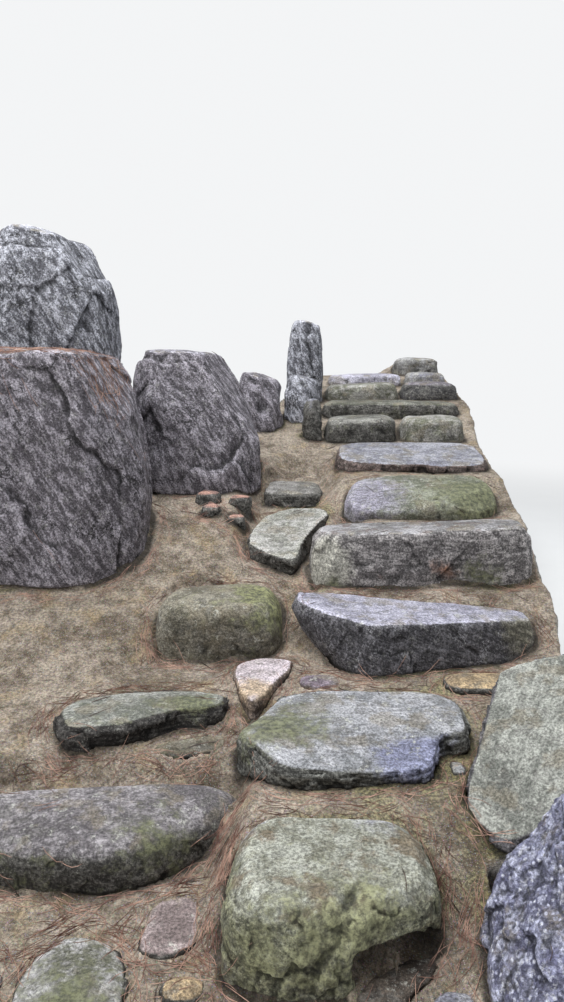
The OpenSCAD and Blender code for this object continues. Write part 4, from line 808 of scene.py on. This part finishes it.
def lay_bedding(bed_tree, stone_tree):
    """The six beds as one mass of mortar that fills in round the stones, with rubble on its outer sides."""
    obj = even_mesh("bedding", *bedding_form(bed_tree), "bedding", BED_VOXEL * COARSER)
    mesh = obj.data
    p = points_of(mesh)
    to_bed = nearest(bed_tree, p, STONE_REACH)[0]
    to_stone, face = nearest(stone_tree, p, STONE_REACH)
    tops = np.concatenate([np.full(len(cad_mesh([node])[1]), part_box(node)[1].z) for node in STONES])
    # Painted shadow: next to the stones, where they stand well above the mortar.
    shade = np.exp(-to_stone / SHADE_REACH) * rise(tops[face.astype(int)] - p[:, 2], 0.015, 0.09)
    inside = rise(to_bed, 0.004, 0.030)
    p = relax(mesh, p, 1)
    broad = relax(mesh, p, 60)
    put(mesh, broad)
    n = normals_of(mesh)
    raked = ((broad - p) * n).sum(axis=1)
    low, high = (np.array(corner) for corner in cad_box)
    outer = (1 - rise(np.abs(n[:, 2]), 0.45, 0.75)) * (1 - inside)
    outer *= over_floor(bed_tree, p, n, outer > 0)
    put(mesh, p)
    n = normals_of(mesh)

    near = np.exp(-to_stone / JOINT_REACH) * (1 - inside)
    block = rise(-raked, -0.004, 0.001)
    far = np.linalg.norm(broad - p, axis=1)
    fronts = (outer > 0.5) & (raked < -0.0005) & (far < MOST_RUBBLE_SHIFT) & (p[:, 2] > 0.05)
    mark = pick(patches(mesh, fronts, LABEL_ROUNDS), 11)
    rubble = outer * block
    sand = 5.0 * rough(p, 0.13, 21, 3) + 2.6 * rough(p, 0.030, 31, 2)
    wall = (7 * chips(p, 0.11, 41) + 6 * rough(p, 0.05, 45, 3) - 3 * mark) * block - 8 * (1 - block)
    out = (1 - outer) * sand + outer * wall + 3.0 * near
    p = p + n * ((out * (1 - inside) - 30 * inside) * MM)[:, None]
    p = np.clip(p, low, high)
    put(mesh, p)

    green = 0.30 * near + 0.42 * rise(noise(p, 0.33, 51), 0.0, 0.6) + 0.12 * noise(p, 0.07, 61)
    # near carries the painted shadow by the stones.
    paint(mesh, "near", shade * (1 - inside))
    paint(mesh, "joint", near)
    paint(mesh, "moss", green * (1 - outer))
    paint(mesh, "rubble", rubble)
    paint(mesh, "stone_tone", mark)
    buried = np.maximum(inside, (p[:, 2] < 0.002) * 1.0)
    thin(obj, BED_TRIANGLES, buried)
    dress(obj, bedding_material())
    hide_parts(*BEDS)
    return obj


# Litter

# Sticks fall from SKY. One that would come lower than LOWEST or bridge more than MOST_BRIDGE is left out.
SKY = 3.0
LOWEST = 0.03
MOST_BRIDGE = 0.012
LIFT = 0.0008
NEEDLES = 2200
BANK_NEEDLES = 1500
TWIGS = 60
NEEDLE_RADIUS = 0.0008
BANK_NEEDLE_RADIUS = 0.0009
FURTHEST_NEEDLE = 2.6


def ground(x, y, view):
    """Height of the steps under a place, or None beside them."""
    hit, place, *_ = scene.ray_cast(view, Vector((x, y, SKY)), Vector((0, 0, -1)))
    return place.z if hit else None


def settle(x, y, turn, length, sag, view, chance):
    """A thin stick dropped on the steps, as five points, or None off them or where it would bridge a drop."""
    bend = chance.uniform(-0.16, 0.16)
    path = []
    for k in range(5):
        along = (k / 4 - 0.5) * length
        aside = bend * length * (1 - (k / 2 - 1) ** 2)
        px = x + along * math.cos(turn) - aside * math.sin(turn)
        py = y + along * math.sin(turn) + aside * math.cos(turn)
        height = ground(px, py, view)
        if height is None or height < LOWEST:
            return None
        path.append(Vector((px, py, height)))
    heights = np.array([at.z for at in path])
    line = np.polyval(np.polyfit(range(5), heights, 1), range(5))
    if np.abs(heights - line).max() > MOST_BRIDGE:
        return None
    rest = (1 - sag) * line + sag * heights
    rest += max(0, (heights - rest).max()) * 0.6
    for at, height in zip(path, rest):
        at.z = height + LIFT
    return path


def strand(path, radius):
    """A three-sided stick along a path, as points and faces."""
    points, faces = [], []
    last = len(path) - 1
    for k, at in enumerate(path):
        ahead = (path[min(k + 1, last)] - path[max(k - 1, 0)]).normalized()
        across = ahead.cross(Vector((0, 0, 1))).normalized()
        above = across.cross(ahead)
        thick = radius * (1.0 if 0 < k < last else 0.5)
        for turn in (0, math.tau / 3, math.tau / 1.5):
            points.append(at + thick * (math.cos(turn) * across + math.sin(turn) * above))
    for k in range(last):
        for a, b in ((0, 1), (1, 2), (2, 0)):
            faces.append((3 * k + a, 3 * k + b, 3 * k + 3 + b))
            faces.append((3 * k + a, 3 * k + 3 + b, 3 * k + 3 + a))
    faces += [(2, 1, 0), (3 * last, 3 * last + 1, 3 * last + 2)]
    return points, faces


def joined(strands):
    points, faces = [], []
    for more, sides in strands:
        faces += [tuple(corner + len(points) for corner in side) for side in sides]
        points += more
    return np.array([tuple(at) for at in points]), np.array(faces)


def drop_litter(bedding, stone_tree):
    """Dry pine needles and short twigs, mostly along the joints and on the bank's front boulder."""
    view = bpy.context.evaluated_depsgraph_get()
    chance = random.Random(7)
    mesh = bedding.data
    p, n = points_of(mesh), normals_of(mesh)
    near = rows(mesh.attributes["joint"].data, "value", 1)[:, 0]
    spots = p[(near > 0.15) & (n[:, 2] > 0.5) & (p[:, 1] < FURTHEST_NEEDLE)]
    needles, twigs = [], []
    while len(needles) < NEEDLES:
        x, y, z = spots[chance.randrange(len(spots))]
        if chance.random() > 1.15 - 0.42 * y - 0.35 * x:
            continue
        normal = stone_tree.find_nearest((x, y, z))[1]
        turn = math.atan2(normal.x, -normal.y) + chance.gauss(0, 0.45)
        for _ in range(chance.choice((1, 2, 2))):
            at = (x + chance.gauss(0, 0.012), y + chance.gauss(0, 0.012))
            path = settle(*at, turn + chance.gauss(0, 0.12), chance.uniform(0.05, 0.11), 0.5, view, chance)
            if path:
                needles.append(strand(path, NEEDLE_RADIUS))
    low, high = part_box("bank_front")
    for _ in range(BANK_NEEDLES):
        at = (chance.uniform(low.x, high.x), chance.uniform(low.y, high.y))
        path = settle(*at, chance.uniform(0, math.pi), chance.uniform(0.06, 0.12), 0.4, view, chance)
        if path and path[2].z > 0.8 * high.z:
            needles.append(strand(path, BANK_NEEDLE_RADIUS))
    while len(twigs) < TWIGS:
        x, y, z = spots[chance.randrange(len(spots))]
        at = (x + chance.gauss(0, 0.08), y + chance.gauss(0, 0.08))
        path = settle(*at, chance.uniform(0, math.pi), chance.uniform(0.03, 0.09), 0.2, view, chance)
        if path:
            twigs.append(strand(path, chance.uniform(0.0010, 0.0017)))
    brown = plain_material("needles", (0.13, 0.06, 0.045), (0.46, 0.29, 0.22), 22)
    bark = plain_material("twigs", (0.030, 0.020, 0.018), (0.11, 0.075, 0.06), 60)
    piece("needles", *joined(needles), "bedding", brown)
    piece("twigs", *joined(twigs), "bedding", bark)


bed_tree = BVHTree.FromPolygons(*(part.tolist() for part in cad_mesh(BEDS)))
stone_tree = BVHTree.FromPolygons(*(part.tolist() for part in cad_mesh(STONES)))
bedding = lay_bedding(bed_tree, stone_tree)
for index, node in enumerate(STONES):
    carve(node, 100 * index + 17, bed_tree)
drop_litter(bedding, stone_tree)


# Studio


def lamp(name, place, aim, size, energy, colour):
    data = bpy.data.lights.new(name, "AREA")
    data.energy = energy
    data.size = size
    data.color = colour
    obj = bpy.data.objects.new(name, data)
    obj.location = place
    obj.rotation_euler = (Vector(aim) - Vector(place)).to_track_quat("-Z", "Y").to_euler()
    scene.collection.objects.link(obj)


BACKDROP = (0.90, 0.91, 0.92)
SKY_COLOUR = (0.92, 0.95, 1)
SKY_STRENGTH = 0.38
FLOOR_DARK = (0.76, 0.76, 0.75)
FLOOR_LIGHT = (0.82, 0.82, 0.81)
FADE_FROM = 2.6
FADE_TO = 7

world = bpy.data.worlds.new("world")
scene.world = world
world.use_nodes = True
tree = world.node_tree
sky, backdrop = tree.nodes["Background"], tree.nodes.new("ShaderNodeBackground")
sky.inputs["Color"].default_value = (*SKY_COLOUR, 1)
sky.inputs["Strength"].default_value = SKY_STRENGTH
backdrop.inputs["Color"].default_value = (*BACKDROP, 1)
seen, choice = tree.nodes.new("ShaderNodeLightPath"), tree.nodes.new("ShaderNodeMixShader")
tree.links.new(seen.outputs["Is Camera Ray"], choice.inputs["Fac"])
tree.links.new(sky.outputs["Background"], choice.inputs[1])
tree.links.new(backdrop.outputs["Background"], choice.inputs[2])
tree.links.new(choice.outputs["Shader"], tree.nodes["World Output"].inputs["Surface"])
lamp("sky", (-0.6, 1.6, 6.5), (0, 1.6, 0), 5, 580, (0.96, 0.98, 1))
lamp("key", (-3.2, -2.2, 3.6), (0.1, 1.0, 0.4), 3, 90, (1, 0.98, 0.95))

bpy.ops.mesh.primitive_plane_add(size=40, location=(0, 2, 0))
floor = bpy.context.object
floor.name = "floor"
s = Shader("floor")
grain = s.noise(3, 4)
floor.data.materials.append(s.finish(s.mix(grain, FLOOR_DARK, FLOOR_LIGHT), 0.9, grain, 0.001))
away = s.node("ShaderNodeVectorMath", {0: s.place}, operation="LENGTH").outputs["Value"]
seen = s.node("ShaderNodeLightPath").outputs["Is Camera Ray"]
far = s.sum("MULTIPLY", s.level(away, FADE_FROM, FADE_TO), seen)
glow = s.node("ShaderNodeEmission", {"Color": BACKDROP})
fade = s.node("ShaderNodeMixShader", {0: far, 1: s.surface.outputs[0], 2: glow.outputs[0]})
s.feed(s.tree.nodes["Material Output"].inputs["Surface"], fade.outputs[0])
